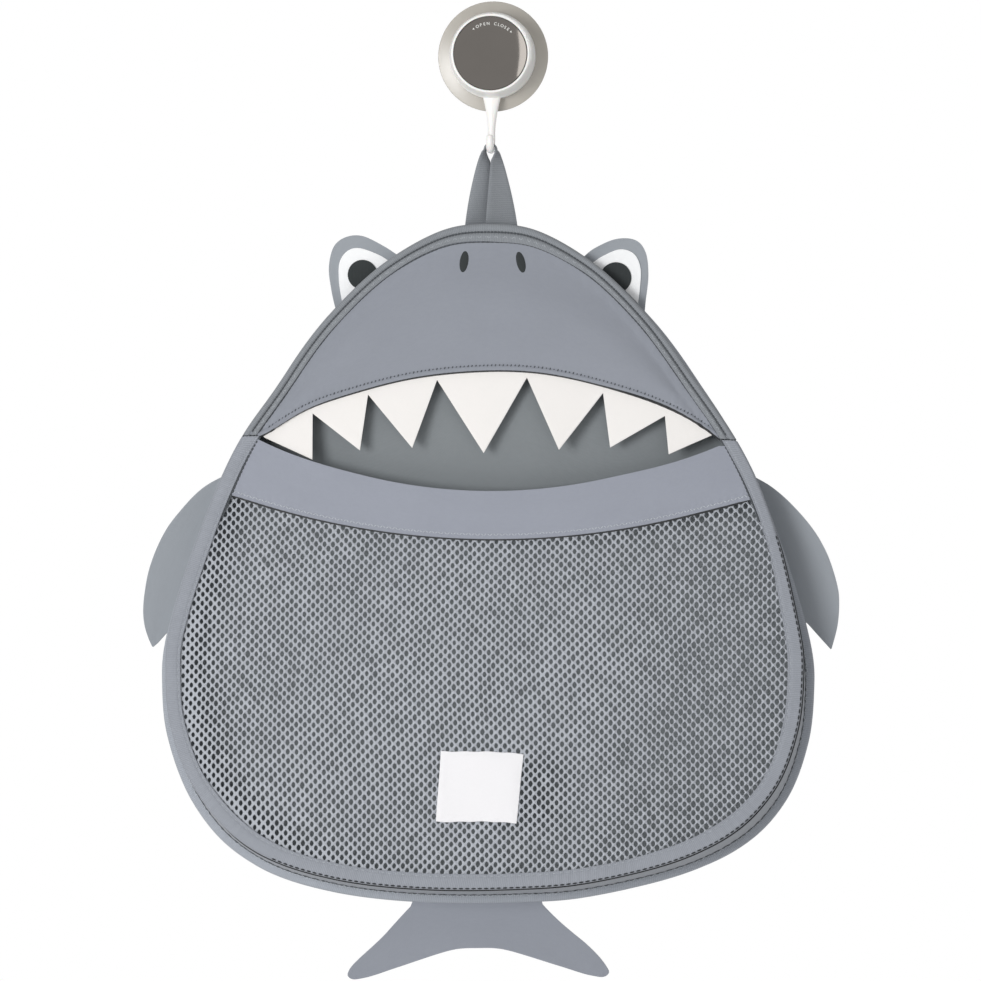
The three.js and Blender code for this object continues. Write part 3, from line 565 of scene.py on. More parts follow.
def stitchRow(name, middles, alongs, ups, length, radius, finish):
    alongs = alongs / np.linalg.norm(alongs, axis=-1, keepdims=True)
    ups = ups - alongs * np.sum(ups * alongs, -1, keepdims=True)
    ups = ups / np.linalg.norm(ups, axis=-1, keepdims=True)
    sides = np.cross(ups, alongs)
    local = stitchPoints * np.array([length / 2, radius, radius])
    points = (middles[:, None] + local[None, :, :1] * alongs[:, None] + local[None, :, 1:2] * sides[:, None]
              + local[None, :, 2:] * ups[:, None])
    count = len(stitchPoints)
    faces = [[v + i * count for v in face] for i in range(len(middles)) for face in stitchFaces]
    piece = newPiece(name, settle(points.reshape(-1, 3)), faces)
    dress(piece, finish, 80)
    sewIn(piece)


def frontRow(name, ends, length, radius, finish):  # stitches on the front, each from one end to the other
    ups = np.repeat((onFront(0, 0, 1) - onFront(0, 0, 0))[None], len(ends[0]), 0)
    stitchRow(name, (ends[0] + ends[1]) / 2, ends[1] - ends[0], ups, length, radius, finish)


def ringStack(name, profile, steps):  # circle extruded ring by ring: radius and height in front of the wall
    alone()
    radius, height = profile[0]
    bpy.ops.mesh.primitive_circle_add(vertices=steps, radius=radius * mm, location=(0, -height * mm, 0),
                                      rotation=(math.pi / 2, 0, 0))
    bpy.ops.object.transform_apply(location=True, rotation=True, scale=True)
    piece = added(name)
    editAll(piece)
    for nextRadius, nextHeight in profile[1:]:
        bpy.ops.mesh.extrude_region_move(TRANSFORM_OT_translate={"value": (0, -(nextHeight - height) * mm, 0)})
        scale = nextRadius / radius
        bpy.ops.transform.resize(value=(scale, 1, scale), center_override=(0, -nextHeight * mm, 0))
        radius, height = nextRadius, nextHeight
    bpy.ops.object.mode_set(mode="OBJECT")
    return piece


def fillet(corner, before, after, radius, steps=5):  # round a corner of a profile
    corner, before, after = (np.array(v, float) for v in (corner, before, after))
    a, b = (before - corner) / np.linalg.norm(before - corner), (after - corner) / np.linalg.norm(after - corner)
    share = np.linspace(0, 1, steps)[:, None]
    p, q = corner + a * radius, corner + b * radius
    return [tuple(v) for v in (1 - share) ** 2 * p + 2 * share * (1 - share) * corner + share ** 2 * q]


def rounded(profile):  # profile points with an optional fillet radius as a third number
    out = []
    for i, point in enumerate(profile):
        if len(point) == 2:
            out.append(tuple(point))
        else:
            out += fillet(point[:2], profile[i - 1][:2], profile[(i + 1) % len(profile)][:2], point[2])
    return out


# suction hook

cup = {"rim": 32.5, "edge": 0.9, "slope": 0.105, "flare": 0.0075, "lip": 24.6, "shoulder": 6.6, "hollow": 3.0,
       "seal": 27.0, "boss": 9.0, "bossTop": 8.2, "neck": 4.3, "socket": 6.3, "socketTop": 6.8, "socketFloor": 4.6,
       "pole": 0.4, "round": 0.35, "bossRound": 0.4}


def cupHeight(radius):  # flared lip, then the dome under the collar
    fromRim = cup["rim"] - max(radius, cup["lip"])
    lip = cup["edge"] + cup["slope"] * fromRim + cup["flare"] * fromRim ** 2
    share = max(0, cup["lip"] - radius) / (cup["lip"] - cup["boss"])
    return lip + (cup["shoulder"] - lip) * (1.5 * share - 0.5 * share ** 2)


def makeCup():
    rim, boss, bossTop, soft = cup["rim"], cup["boss"], cup["bossTop"], cup["bossRound"]
    profile = [(r, cup["hollow"] * (1 - (r / cup["seal"]) ** 2)) for r in np.linspace(cup["pole"], cup["seal"], 14)]
    profile += [(rim - 0.7, 0)] + fillet((rim, 0), (rim - 1, 0), (rim, 1), cup["round"], 4)
    profile += fillet((rim, cupHeight(rim)), (rim, 0), (rim - 1, cupHeight(rim - 1)), cup["round"], 4)
    profile += [(r, cupHeight(r)) for r in np.linspace(rim - 0.6, boss + 0.6, 20)]
    profile += [(boss, cup["shoulder"] + soft), (boss, bossTop - soft), (boss - soft, bossTop),
                (cup["neck"], bossTop), (cup["neck"], cup["socketTop"]), (cup["socket"], cup["socketTop"]),
                (cup["socket"], cup["socketFloor"]), (cup["pole"], cup["socketFloor"])]
    piece = ringStack("suctionCup", profile + [profile[0]], 120)
    closeUp(piece)
    dress(piece, clearVinyl, 40)
    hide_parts("suction_cup")
    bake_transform(piece)


knob = {"base": 25.0, "brow": 23.3, "foot": 11.1, "face": 26.8, "recess": 21.8, "ledge": 24.2, "plate": 13.1,
        "inner": 20.4, "bore": 4.6}


def makeKnob():
    base, brow, foot, face, recess = (knob[key] for key in ("base", "brow", "foot", "face", "recess"))
    ledge, plate, inner, bore = (knob[key] for key in ("ledge", "plate", "inner", "bore"))
    profile = rounded([(bore, foot), (base, foot, 0.5), (base, foot + 1.4, 0.8), (base - 0.55, foot + 4.2, 0.9),
                       (brow, face - 1.2, 1.0), (brow - 0.35, face, 0.3), (recess, face, 0.2), (recess, ledge),
                       (inner, ledge), (inner, plate), (bore, plate)])
    piece = ringStack("twistKnob", profile + [profile[0]], 128)
    closeUp(piece)
    dress(piece, whitePlastic, 42)
    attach(piece, "knob")
    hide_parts("twist_knob")


dial = {"rim": 21.5, "foot": 24.5, "edge": 26.75, "flat": 26.2, "flatRadius": 4.6, "dish": 0.0031, "pole": 0.05,
        "legendRadius": 17.3, "letter": 2.45, "bolder": 0.04, "arrow": 0.7, "ink": 0.06, "inkRise": 0.05,
        "words": (("OPEN", -26.5, 7.2), ("CLOSE", 9.3, 6.7)), "arrows": (("<", -35.4), (">", 43.5))}


def dialHeight(radius):  # shallow dish, level in the middle
    return dial["flat"] + dial["dish"] * np.maximum(0, radius - dial["flatRadius"]) ** 2 / 2


def makeDial():
    rim, foot, edge, flat, pole = (dial[key] for key in ("rim", "foot", "edge", "flat", "pole"))
    profile = [(pole, foot), (rim, foot), (rim, edge - 0.25), (rim - 0.08, edge - 0.07), (rim - 0.25, edge)]
    profile += [(r, float(dialHeight(r))) for r in np.linspace(rim - 0.4, dial["flatRadius"], 26)]
    piece = ringStack("dialDisc", profile + [(2.0, flat), (pole, flat)], 128)
    capEnds(piece)
    closeUp(piece)
    dress(piece, dialMirror, 30)
    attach(piece, "knob")
    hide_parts("dial_disc")


def makeMark(letter):
    alone()
    if letter in "<>":
        bpy.ops.mesh.primitive_circle_add(vertices=3, radius=dial["arrow"] * mm, fill_type="NGON")
        mark = bpy.context.object
        mark.data.transform(Matrix.Rotation((1 if letter == "<" else -1) * math.pi / 2, 4, "Z"))
        return mark
    bpy.ops.object.text_add()
    text = bpy.context.object.data
    text.body = letter
    text.align_x = text.align_y = "CENTER"
    text.size, text.offset = dial["letter"] * mm, dial["bolder"] * mm
    bpy.ops.object.convert(target="MESH")
    return bpy.context.object


def makeLegend():  # OPEN and CLOSE with their arrow tips, letter by letter round the dial
    places = [(letter, first + i * step) for word, first, step in dial["words"] for i, letter in enumerate(word)]
    marks = []
    for letter, degrees in places + list(dial["arrows"]):
        mark = makeMark(letter)
        angle = math.radians(degrees)
        turn = Matrix.Rotation(math.pi / 2, 4, "X") @ Matrix.Rotation(-angle, 4, "Z")
        spot = Vector((math.sin(angle), 0, math.cos(angle))) * dial["legendRadius"] * mm
        mark.data.transform(Matrix.Translation(spot) @ turn)
        marks.append(mark)
    alone(marks[0])
    for mark in marks:
        mark.select_set(True)
    bpy.ops.object.join()
    piece = added("dialLegend")
    for vertex in piece.data.vertices:  # the print lies on the dish
        radius = math.hypot(vertex.co.x, vertex.co.z) / mm
        vertex.co.y = -(float(dialHeight(radius)) + dial["inkRise"]) * mm
    applyModifier(piece, "SOLIDIFY", thickness=dial["ink"] * mm, offset=0)
    wear(piece, dialInk)
    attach(piece, "knob")


collar = {"outer": 25.3, "wall": 2.8, "floor": 8.5, "top": 10.8, "hole": 4.3, "clear": 0.3, "armWidth": 5.1,
          "armHeight": 8.25, "taperEnd": 45.0, "taper": 1.7, "bar": 2.25, "drop": 55.8, "gapMiddle": 15.75,
          "bend": 4.0, "tipRise": 8.4, "tip": ((0.0, 1), (1.0, 0.96), (1.6, 0.84), (2.0, 0.6), (2.2, 0.3))}


def hookStations():  # height, z, turn and half width down the arm and round the hook
    outer, bar, bend, drop = (collar[key] for key in ("outer", "bar", "bend", "drop"))
    height, wide = collar["armHeight"], collar["armWidth"]
    far = 2 * (collar["gapMiddle"] - height)
    stations = [(height, -outer + collar["wall"], 0.0, wide)]
    for share in np.linspace(0, 1, 9):
        z = -outer + (outer - collar["taperEnd"]) * share
        stations.append((height, z, 0.0, wide + (bar - wide) * (1 - (1 - share) ** collar["taper"])))
    stations.append((height, -(collar["taperEnd"] + drop - bend) / 2, 0.0, bar))
    for middle, start in ((bend, 0.0), (far - bend, math.pi / 2)):
        for turn in np.linspace(start, start + math.pi / 2, 9):
            y, z = height + middle - bend * math.cos(turn), -drop + bend - bend * math.sin(turn)
            stations.append((y, z, float(turn), bar))
    for rise, share in collar["tip"]:
        stations.append((height + far, -drop + collar["tipRise"] - bar + rise, math.pi, bar * share))
    return stations


def makeArm():
    stations = hookStations()
    height, z, turn, wide = stations[0]
    bar, middle = collar["bar"], (0, -height * mm, z * mm)
    alone()
    bpy.ops.mesh.primitive_circle_add(vertices=28, radius=bar * mm, location=middle)
    arm = bpy.context.object
    bpy.ops.object.transform_apply(location=True, rotation=True, scale=True)
    editAll(arm)
    bpy.ops.transform.resize(value=(wide / bar, 1, 1), center_override=middle)
    for nextHeight, nextZ, nextTurn, nextWide in stations[1:]:
        step = (0, (height - nextHeight) * mm, (nextZ - z) * mm)
        bpy.ops.mesh.extrude_region_move(TRANSFORM_OT_translate={"value": step})
        middle = (0, -nextHeight * mm, nextZ * mm)
        if nextTurn != turn:
            bpy.ops.transform.rotate(value=nextTurn - turn, orient_axis="X", center_override=middle)
        if nextWide != wide:  # the tip narrows both ways, the arm only sideways
            scale = nextWide / wide
            bpy.ops.transform.resize(value=(scale, scale if nextTurn == math.pi else 1, 1), center_override=middle)
        height, z, turn, wide = nextHeight, nextZ, nextTurn, nextWide
    capEnds(arm)
    closeUp(arm)
    return arm


def makeCollar():
    outer, inner, hole = collar["outer"], collar["outer"] - collar["wall"], collar["hole"]
    ring = rounded([(hole, collar["floor"]), (inner, collar["floor"]), (inner, cupHeight(inner) + collar["clear"]),
                    (outer, cupHeight(outer) + collar["clear"], 0.4), (outer, collar["top"], 0.5),
                    (hole, collar["top"])])
    piece = ringStack("hookCollar", ring + [ring[0]], 128)
    closeUp(piece)
    arm = makeArm()
    applyModifier(piece, "BOOLEAN", operation="UNION", object=arm, solver="EXACT")
    bpy.data.objects.remove(arm)
    dress(piece, whitePlastic, 35)
    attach(piece, "suction_hook")
    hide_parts("hook_collar")


for make in (makeCup, makeKnob, makeDial, makeLegend, makeCollar):
    make()
wear(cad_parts["cup_stem"], whitePlastic)
wear(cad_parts["cross_pin"], pinSteel)
print("suction hook ready")


# hanging loop: one tape over the hook's bar, its legs turn and cross at the foot

strap = {"bar": 2.25, "fit": 0.3, "thick": 1.4, "width": 19.0, "gather": 8.0, "reach": 15.95, "swell": 0.62,
         "overlap": 3.4, "crossFrom": 0.1, "meet": 0.155, "spread": 0.9, "layer": 1.0, "barDrop": 55.8,
         "hookMiddle": 15.75, "tuck": 2.6, "cup": 0.9, "leftCup": 1.3, "rightCup": 0.5, "long": 112.0, "shown": 0.86}


def strapSection(middle, wide, thickWay, half, dish):
    across = np.linspace(-1, 1, 13)
    edge = strap["thick"] / 2 * np.sqrt(np.maximum(0.12, 1 - np.abs(across) ** 14))
    bow = dish * (across ** 2 - 0.4)
    top = [middle + wide * half * a + thickWay * (b + e) for a, b, e in zip(across, bow, edge)]
    low = [middle + wide * half * a + thickWay * (b - e) for a, b, e in zip(across, bow, edge)]
    return top + low[::-1]


def strapLeg(side, radius):  # the tape's two edges as seen from the front set its turn
    s, rows, thin = strap, [], strap["thick"] / 2
    footY, footZ = body["backMiddle"] - side * s["layer"], -body["backDrop"] - s["tuck"]
    for share in np.linspace(0, 1, 46)[1:]:
        outer = radius + thin + (s["reach"] - radius - thin) * share ** s["swell"]
        crossed = max(0.0, (share - s["crossFrom"]) / (1 - s["crossFrom"])) ** 0.8
        inner = (radius - thin) * (1 - float(smooth(share / s["meet"]))) - s["overlap"] * crossed
        opened = s["gather"] / 2 + (s["width"] - s["gather"]) / 2 * float(smooth(share / s["spread"]))
        half = max(opened, (outer - inner) / 2)
        turn = math.asin(min(1, (outer - inner - 2 * thin * (1 - share)) / 2 / half))
        ease = float(smooth(share))
        middle = np.array([side * (outer + inner) / 2, -s["hookMiddle"] + (footY + s["hookMiddle"]) * ease,
                           -s["barDrop"] + (footZ + s["barDrop"]) * share])
        wide = np.array([math.sin(turn), math.cos(turn), 0])
        thickWay = side * np.array([math.cos(turn), -math.sin(turn), 0])
        dish = s["cup"] * math.sin(math.pi * min(1, share * 1.02)) * s["leftCup" if side < 0 else "rightCup"]
        rows.append(strapSection(middle, wide, thickWay, half, dish))
    return rows


def makeLoop():
    s = strap
    radius = s["bar"] + s["fit"] + s["thick"] / 2
    arch = []
    for angle in np.linspace(0, math.pi, 17):
        outward = np.array([math.cos(angle), 0, math.sin(angle)])
        middle = np.array([0, -s["hookMiddle"], -s["barDrop"]]) + outward * radius
        arch.append(strapSection(middle, np.array([0, 1.0, 0]), outward, s["gather"] / 2, 0.0))
    sections = np.array(strapLeg(1, radius)[::-1] + arch + strapLeg(-1, radius))
    piece = tubePiece("hangingLoop", sections, False, (115.0, 40.0), strapTape)
    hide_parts("hanging_loop")
    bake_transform(piece)


makeLoop()
print("hanging loop ready")


# edge tapes, folded over the cloth's edge

tape = {"half": 2.3, "slot": 1.35, "fold": 1.3, "turn": 1.75, "turnShare": 0.86, "turnFrom": 1.9, "flatMetres": 0.022,
        "band": {"upper": 7.4, "lower": 9.0, "back": 8.5}, "seam": {"upper": 3.9, "lower": 7.6, "back": 5.2},
        "groove": {"upper": 1.25, "lower": 0.42, "back": 0.42}, "grooveWide": 0.75, "crown": 0.22, "hem": 0.28,
        "legs": [0.0, 0.4, 0.9, 1.3, 1.7, 2.1, 2.6, 3.1, 3.5, 3.9, 4.3, 4.9, 5.6, 6.6],
        "pucker": 0.14, "puckerPitch": 5.6, "stitch": 3.1, "cut": 0.62, "joint": 0.45, "cutReach": 14,
        "forehead": 0.6, "foreheadReach": 45, "cheek": 0.27, "cheekTo": (180, 80),
        "netFrom": 172.0, "edgeFrom": 182.0, "edgeTo": 372.0}


def sewnWide(label, places, inset):  # the tape's face is wider over the forehead, and narrower at the right cheek
    x, drop = outlineAt(front, places).T
    stretch = np.ones(len(x))
    if label == "upper":
        stretch += tape["forehead"] * np.exp(-(x / tape["foreheadReach"]) ** 2)
    if label == "lower":
        stretch -= tape["cheek"] * (x > 0) * (1 - ramp(drop, *tape["cheekTo"]))
    inset = np.asarray(inset, float) + np.zeros((len(x),) + np.shape(inset)[1:])
    stretch = stretch.reshape((-1,) + (1,) * (inset.ndim - 1))
    return np.where(inset > tape["turn"], tape["turn"] + (inset - tape["turn"]) * stretch, inset)


def tapeSection(label, places):  # inset and height across the cloth, round the folded tape
    half, slot, fold, turn = tape["half"], tape["slot"], tape["fold"], tape["turn"]
    wide, seam, groove = (tape[key][label] for key in ("band", "seam", "groove"))
    bent = math.pi / 2 * tape["turnShare"]
    facing = [(wide, half - tape["hem"])]
    for leg in (np.array(tape["legs"]) * (wide - tape["turnFrom"]) / tape["legs"][-1])[1:]:
        sunk = groove * math.exp(-((wide - leg - seam) / tape["grooveWide"]) ** 2)
        facing.append((wide - leg, half + tape["crown"] * math.sin(math.pi * leg / 6.8) - sunk))
    turnOver = [(turn - turn * math.cos(a), half * math.sin(a)) for a in np.linspace(bent, -bent, 9)]
    rear = [(p, -q) for p, q in facing[::-1]]
    section = np.array(facing + turnOver + rear + [(wide, -slot), (fold, -slot), (fold, slot), (wide, slot)])
    inset, out = (np.repeat(section[None, :, k], len(places), 0) for k in (0, 1))
    run = np.asarray(places)[:, None] * edgeLength
    wave = np.sin(run / tape["puckerPitch"] * 2 * math.pi + 1.3 * np.sin(run / 41)) * (0.7 + 0.3 * np.sin(run / 17.3))
    outer = np.abs(out) > 1.6
    out = out + np.sign(out) * outer * tape["pucker"] * wave * (inset > 1.0)
    inset = inset + 0.22 * np.sin(run / 23.7 + 0.6 * np.sin(run / 9.1)) * (inset > wide - 1)
    return sewnWide(label, places, inset), out


def tapeSeam(name, side, place, places, inset, out, finish, length=2.3, radius=0.27, zigzag=0.0):
    inset = inset + 0 * places
    spot = lambda where, inset, out: place(*edgeAt(side, where, inset).T, out)
    lift = spot(places, inset, out)
    if zigzag:
        shift = zigzag * np.where(np.arange(len(places)) % 2, 1.0, -1.0)
        ends = [spot(places + k * 0.5 * (places[1] - places[0]), inset + k * shift, out) for k in (-1, 1)]
        alongs = ends[1] - ends[0]
        length = float(np.linalg.norm(alongs, axis=1).mean()) * 1.05
    else:
        alongs = spot(places + 0.0006, inset, out) - lift
    ups = spot(places, inset, out + math.copysign(1, out)) - lift
    stitchRow(name, lift, alongs, ups, length, radius, finish)


def evenPlaces(start, end, pitch):
    count = int(round((end - start) * edgeLength / pitch))
    return start + (np.arange(count) + 0.5) * (end - start) / count


def makeTape(label, side, place, start, end, steps, finish, restsOn):
    ring = label == "back"
    places = np.linspace(start, end, steps, endpoint=not ring)
    inset, out = tapeSection(label, places)
    spots = np.repeat(places[:, None], inset.shape[1], 1)
    if not ring:  # both ends are cut level
        near = np.minimum(places - start, end - places) * edgeLength
        way = np.where(np.mod(places, 1) < 0.5, -1, 1) * (1 - smooth(near / tape["cutReach"]))
        spots = spots + way[:, None] * tape["cut"] * inset / edgeLength
    points = edgeAt(side, spots, inset)
    sections = place(points[..., 0], points[..., 1], out)
    piece = tubePiece(label + "Binding", sections, ring, ((end - start) * edgeLength, 44.0), finish)
    sewIn(piece, label + "_binding")


def sewTape(label, side, place, start, end):
    half, seam, wide, cloth = tape["half"], tape["seam"][label], tape["band"][label], body["clothThick"] / 2
    margin = 0.004 * (label != "back")
    row = lambda pitch, first=start + margin, last=end - margin: evenPlaces(first, last, pitch)
    sew = lambda name, spots, inset, out, finish, **more: tapeSeam(
        name, side, place, spots, sewnWide(label, spots, inset), out, finish, **more)
    if label == "upper":
        sew("upperSeamFront", row(2.1), seam, half - 0.78, darkThread, length=2.2, radius=0.68)
        sew("upperZigzag", row(1.5), seam + 1.85, half + 0.02, paleThread, radius=0.22, zigzag=0.75)
        sew("upperHem", row(3.0), wide + 0.2, cloth + 0.1, darkThread, length=3.5, radius=0.42)
    elif label == "lower":
        besideNet = placeWhere(front, 0, tape["netFrom"])
        netRow = row(4.2, besideNet, 1 - besideNet)
        sew("lowerSeamFront", netRow, seam, half - 0.16, paleThread, length=2.3, radius=0.3)
        reach = tape["cut"] * wide / edgeLength
        for title, first, last in (("Right", start - reach, besideNet), ("Left", 1 - besideNet, end + reach)):
            spots = row(2.6, first, last)
            sew("bandHem" + title, spots, wide + 0.45, cloth + 0.1, darkThread, length=3.2, radius=0.72)
            sew("bandStay" + title, spots, seam - 0.6, half - 0.12, paleThread, length=2.0, radius=0.2)
        edge = row(3.8, placeWhere(front, 0, tape["edgeFrom"]), 1 - placeWhere(front, 0, tape["edgeTo"]))
        sew("edgeSeam", edge, 0.8, half * 0.9, deepThread, length=2.9, radius=0.56)
    else:
        sew("backHem", row(3.0), seam + 0.1, half - 0.12, darkThread, length=3.5, radius=0.55)
        sew("backZigzag", row(1.9), seam - 0.7, half + 0.02, brightThreadPaintedLight, radius=0.28, zigzag=0.8)
    sew(label + "SeamRear", row(tape["stitch"]), seam, -half + 0.2, paleThread)


def makeTacksAndShade():  # dark tacks over the joint of the two tapes, also a painted shade of the gap between them
    for title, middle, way in (("Right", mouthPlace, -1), ("Left", 1 - mouthPlace, 1)):
        inset = np.linspace(0.9, tape["band"]["upper"] - 0.2, 5)
        spots = middle + way * tape["cut"] * inset / edgeLength
        tapeSeam("cornerTackShade" + title, front, onFront, spots, inset, tape["half"] - 0.2, darkThread,
                 length=1.6, radius=0.42)


joint = tape["joint"] / edgeLength
# the back binding wears the paler tape: painted light
tapes = [("upper", front, onFront, -mouthPlace + joint, mouthPlace - joint, 420, headTape, "head_panel"),
         ("lower", front, onFront, mouthPlace + joint, 1 - mouthPlace - joint, 760, greyTape, "back_panel"),
         ("back", back, onBack, 0.0, 1.0, 1100, backTapePaintedLight, "back_panel")]
for label, side, place, start, end, steps, finish, restsOn in tapes:
    makeTape(label, side, place, start, end, steps, finish, restsOn)
    sewTape(label, side, place, start, end)
makeTacksAndShade()
print("edge tapes ready")


# head with the upper lip

head = {"flat": 12.5, "columns": 240, "rows": 44, "spread": 0.93, "trim": 0.4, "round": 0.2, "hem": 3.9,
        "bulge": 4.4, "bulgeReach": 132, "hemRise": 0.35, "hemSunk": 0.5, "pucker": 0.2, "puckerPitch": 4.7,
        "topFrom": 13, "topPucker": 0.1, "topPitch": 7.9, "stitch": 2.3, "stitchSize": (2.1, 0.42),
        "slant": 1.15, "slantMore": 1.1, "slantFrom": (55, 55), "nearLip": 24,
        "lipRows": [0, 2.4, 2.6, 2.8, 3.2, 3.6, 3.9, 4.2, 4.5, 4.9, 5.5, 6.4, 8.4, 11.0]}


def headOut(x, drop):
    top = edgeDrops(front, head["flat"])[0](x)
    height = np.maximum(1e-6, upperLip(x) - top)
    share = np.clip((drop - top) / height, 0, 1)
    return head["bulge"] * np.sin(math.pi * share) ** 1.4 * (1 - (x / head["bulgeReach"]) ** 2).clip(0, 1)


def makeHead():
    h, thick, inset, corner = head, body["clothThick"], body["clothInset"], mouth["corner"] - mouth["gap"]
    x = spreadAcross(halfWidth(inset, corner) - h["trim"], h["columns"], h["spread"])
    bottom = np.where(np.abs(x) < cornerX, upperLip(x), corner)
    top = np.minimum(edgeDrops(front, inset)[0](x), bottom - 0.3)
    height = bottom - top
    near, rest = np.array(h["lipRows"])[:, None], np.linspace(0, 1, h["rows"])[1:, None]
    scale = np.minimum(1, height / h["nearLip"])
    fromLip = np.vstack([near * scale, near[-1] * scale + rest * (height - near[-1] * scale)])
    fromHem, fromTop = fromLip - h["hem"], height - fromLip - h["topFrom"]
    out = (headOut(x, bottom - fromLip) + h["hemRise"] * np.sin(math.pi * np.clip(fromLip / h["hem"], 0, 1))
           - h["hemSunk"] * np.exp(-(fromHem / 0.7) ** 2)
           + h["pucker"] * np.sin(x / h["puckerPitch"] * 2 * math.pi) * np.exp(-(fromHem / 4) ** 2)
           + h["topPucker"] * np.sin(x / h["topPitch"] * 2 * math.pi) * np.exp(-(fromTop / 5) ** 2))
    points = onFront(x[None, :] + 0 * fromLip, bottom - fromLip, out)
    slant = lambda v: h["slant"] + h["slantMore"] * float(ramp(v, *h["slantFrom"]))
    piece, flat, area = clothPiece("headPanel", points, thick, greyCloth, h["round"], foamEdgeAndCrackShade, slant)
    sewIn(piece, "head_panel")
    run = np.linspace(-cornerX + 5, cornerX - 5, 3000)
    length = runLength(onFront(run, upperLip(run) - h["hem"], 0))
    count = int(length[-1] / h["stitch"])
    xs = np.interp((np.arange(count) + 0.5) * length[-1] / count, length, run)

    def spot(v, up):
        drop = upperLip(v) - h["hem"]
        return onFront(v, drop - up, headOut(v, drop) + thick / 2 - 0.2)

    frontRow("lipSeam", [spot(xs + k * 0.35, k * 0.9) for k in (-1, 1)], *h["stitchSize"], darkThread)


nostril = {"wide": 5.2, "high": 13.2, "drop": 22.8, "rise": 0.9, "sunk": 0.1,
           "middle": {"left": -15.0, "right": 18.4}, "turn": {"left": -0.105, "right": 0.244}}


def makeNostril(name):
    n = nostril
    alone()
    bpy.ops.mesh.primitive_uv_sphere_add(segments=40, ring_count=20, radius=1)
    piece = added(name + "Nostril")
    editAll(piece)
    bpy.ops.mesh.bisect(plane_co=(0, 0, -0.15), plane_no=(0, 0, 1), clear_inner=True, use_fill=True)
    bpy.ops.object.mode_set(mode="OBJECT")
    local = np.array([v.co for v in piece.data.vertices]) * [n["wide"] / 2, n["high"] / 2, n["rise"]]
    c, s = math.cos(n["turn"][name]), math.sin(n["turn"][name])
    x = n["middle"][name] + local[:, 0] * c - local[:, 1] * s
    drop = n["drop"] - (local[:, 0] * s + local[:, 1] * c)
    out = headOut(x, drop) + body["clothThick"] / 2 + local[:, 2] - n["sunk"]
    putPoints(piece, settle(onFront(x, drop, out)))
    closeUp(piece)
    dress(piece, darkCloth, 50)
    sewIn(piece, name + "_nostril")


makeHead()
makeNostril("left")
makeNostril("right")
print("head ready")


# teeth: one white strip behind the lip

teeth = {
    "edge": [[-131.5, 127.5], [-102.4, 140.7], [-103.3, 113.0], [-74.7, 134.8], [-70.5, 101.8], [-43.7, 133.4],
             [-30.0, 92.8], [-1.9, 135.7], [22.8, 90.9], [42.4, 133.7], [67.6, 99.6], [72.2, 131.7],
             [104.0, 112.8], [106.5, 135.5], [130.8, 124.1]],
    "seam": 12.0, "thick": 1.2, "behind": 1.95, "long": 45, "curl": [1.6, -0.8, 1.4, -0.6, 1.8, -0.9, 1.2],
    "curlMore": 1.6, "cupped": 0.9, "steepest": 12, "round": 0.25, "half": 14, "rows": 22,
}


def makeTeeth():
    t = teeth
    centre = mouth["upperLip"] + lipRadius
    corners = np.array(t["edge"]) * [1, -1] + [0, centre]
    share = np.linspace(0, 1, t["half"], endpoint=False)[:, None]
    inner = np.vstack([a + (b - a) * share for a, b in zip(corners[:-1], corners[1:])] + [corners[-1:]])
    angle, low = np.arctan2(inner[:, 0], inner[:, 1]), np.hypot(inner[:, 0], inner[:, 1])
    limit = edgeDrops(front, body["tapeBand"] + 0.4)[0]
    reach = np.linspace(0, 1, 200)[:, None]
    tries = low + (lipRadius + t["seam"] - low) * reach
    triesX = tries * np.sin(angle)
    inside = centre - tries * np.cos(angle) - lipRise(triesX) > limit(triesX)
    inside &= np.abs(triesX) < cornerX + 1.0
    high = low + 0.3 + (lipRadius + t["seam"] - low - 0.3) * reach[np.maximum(0, inside.sum(0) - 1), 0]
    rows = np.linspace(0, 1, t["rows"])[:, None]
    radius = low + (high - low) * rows
    x = radius * np.sin(angle)
    drop = centre - radius * np.cos(angle) - lipRise(x) * rows
    hangs = np.clip((lipRadius - radius) / t["long"], 0, 1)
    tooth = np.interp(angle, np.arctan2(corners[::2, 0], corners[::2, 1]), np.arange(8))
    bend = np.array(t["curl"])[np.clip(tooth.astype(int), 0, 6)]
    out = -t["behind"] + bend * t["curlMore"] * hangs ** 1.6 + t["cupped"] * np.sin(math.pi * (tooth % 1)) * hangs
    points = onFront(x, drop, np.minimum(out, -t["behind"] + t["steepest"] * hangs))
    piece, flat, area = clothPiece("teethStrip", points, t["thick"], toothCloth, t["round"])
    shownArea(flat, area)
    sewIn(piece, "teeth_strip")


makeTeeth()
print("teeth ready")


# lower lip band, net and label

band = {"columns": 240, "rows": 40, "spread": 0.93, "trim": 0.4, "round": 0.3, "stitchUp": 3.4, "sunk": 0.4,
        "pucker": 0.16, "puckerPitch": 4.3, "lean": 2.6, "leanReach": 150, "slant": 1.1, "stitch": 1.8,
        "stitchSize": (2.2, 0.3), "zigzag": 0.75}


def bandEdges(x):
    top = np.maximum(lowerLip(x), edgeDrops(front, body["clothInset"])[0](x))
    return top, np.maximum(bandFoot(x), top + 0.3)


def bandOut(x, drop):
    top, foot = bandEdges(x)
    share = np.clip((foot - drop) / (foot - top), 0, 1)
    return band["lean"] * smooth(share) * np.clip(1 - (x / band["leanReach"]) ** 2, 0, 1)


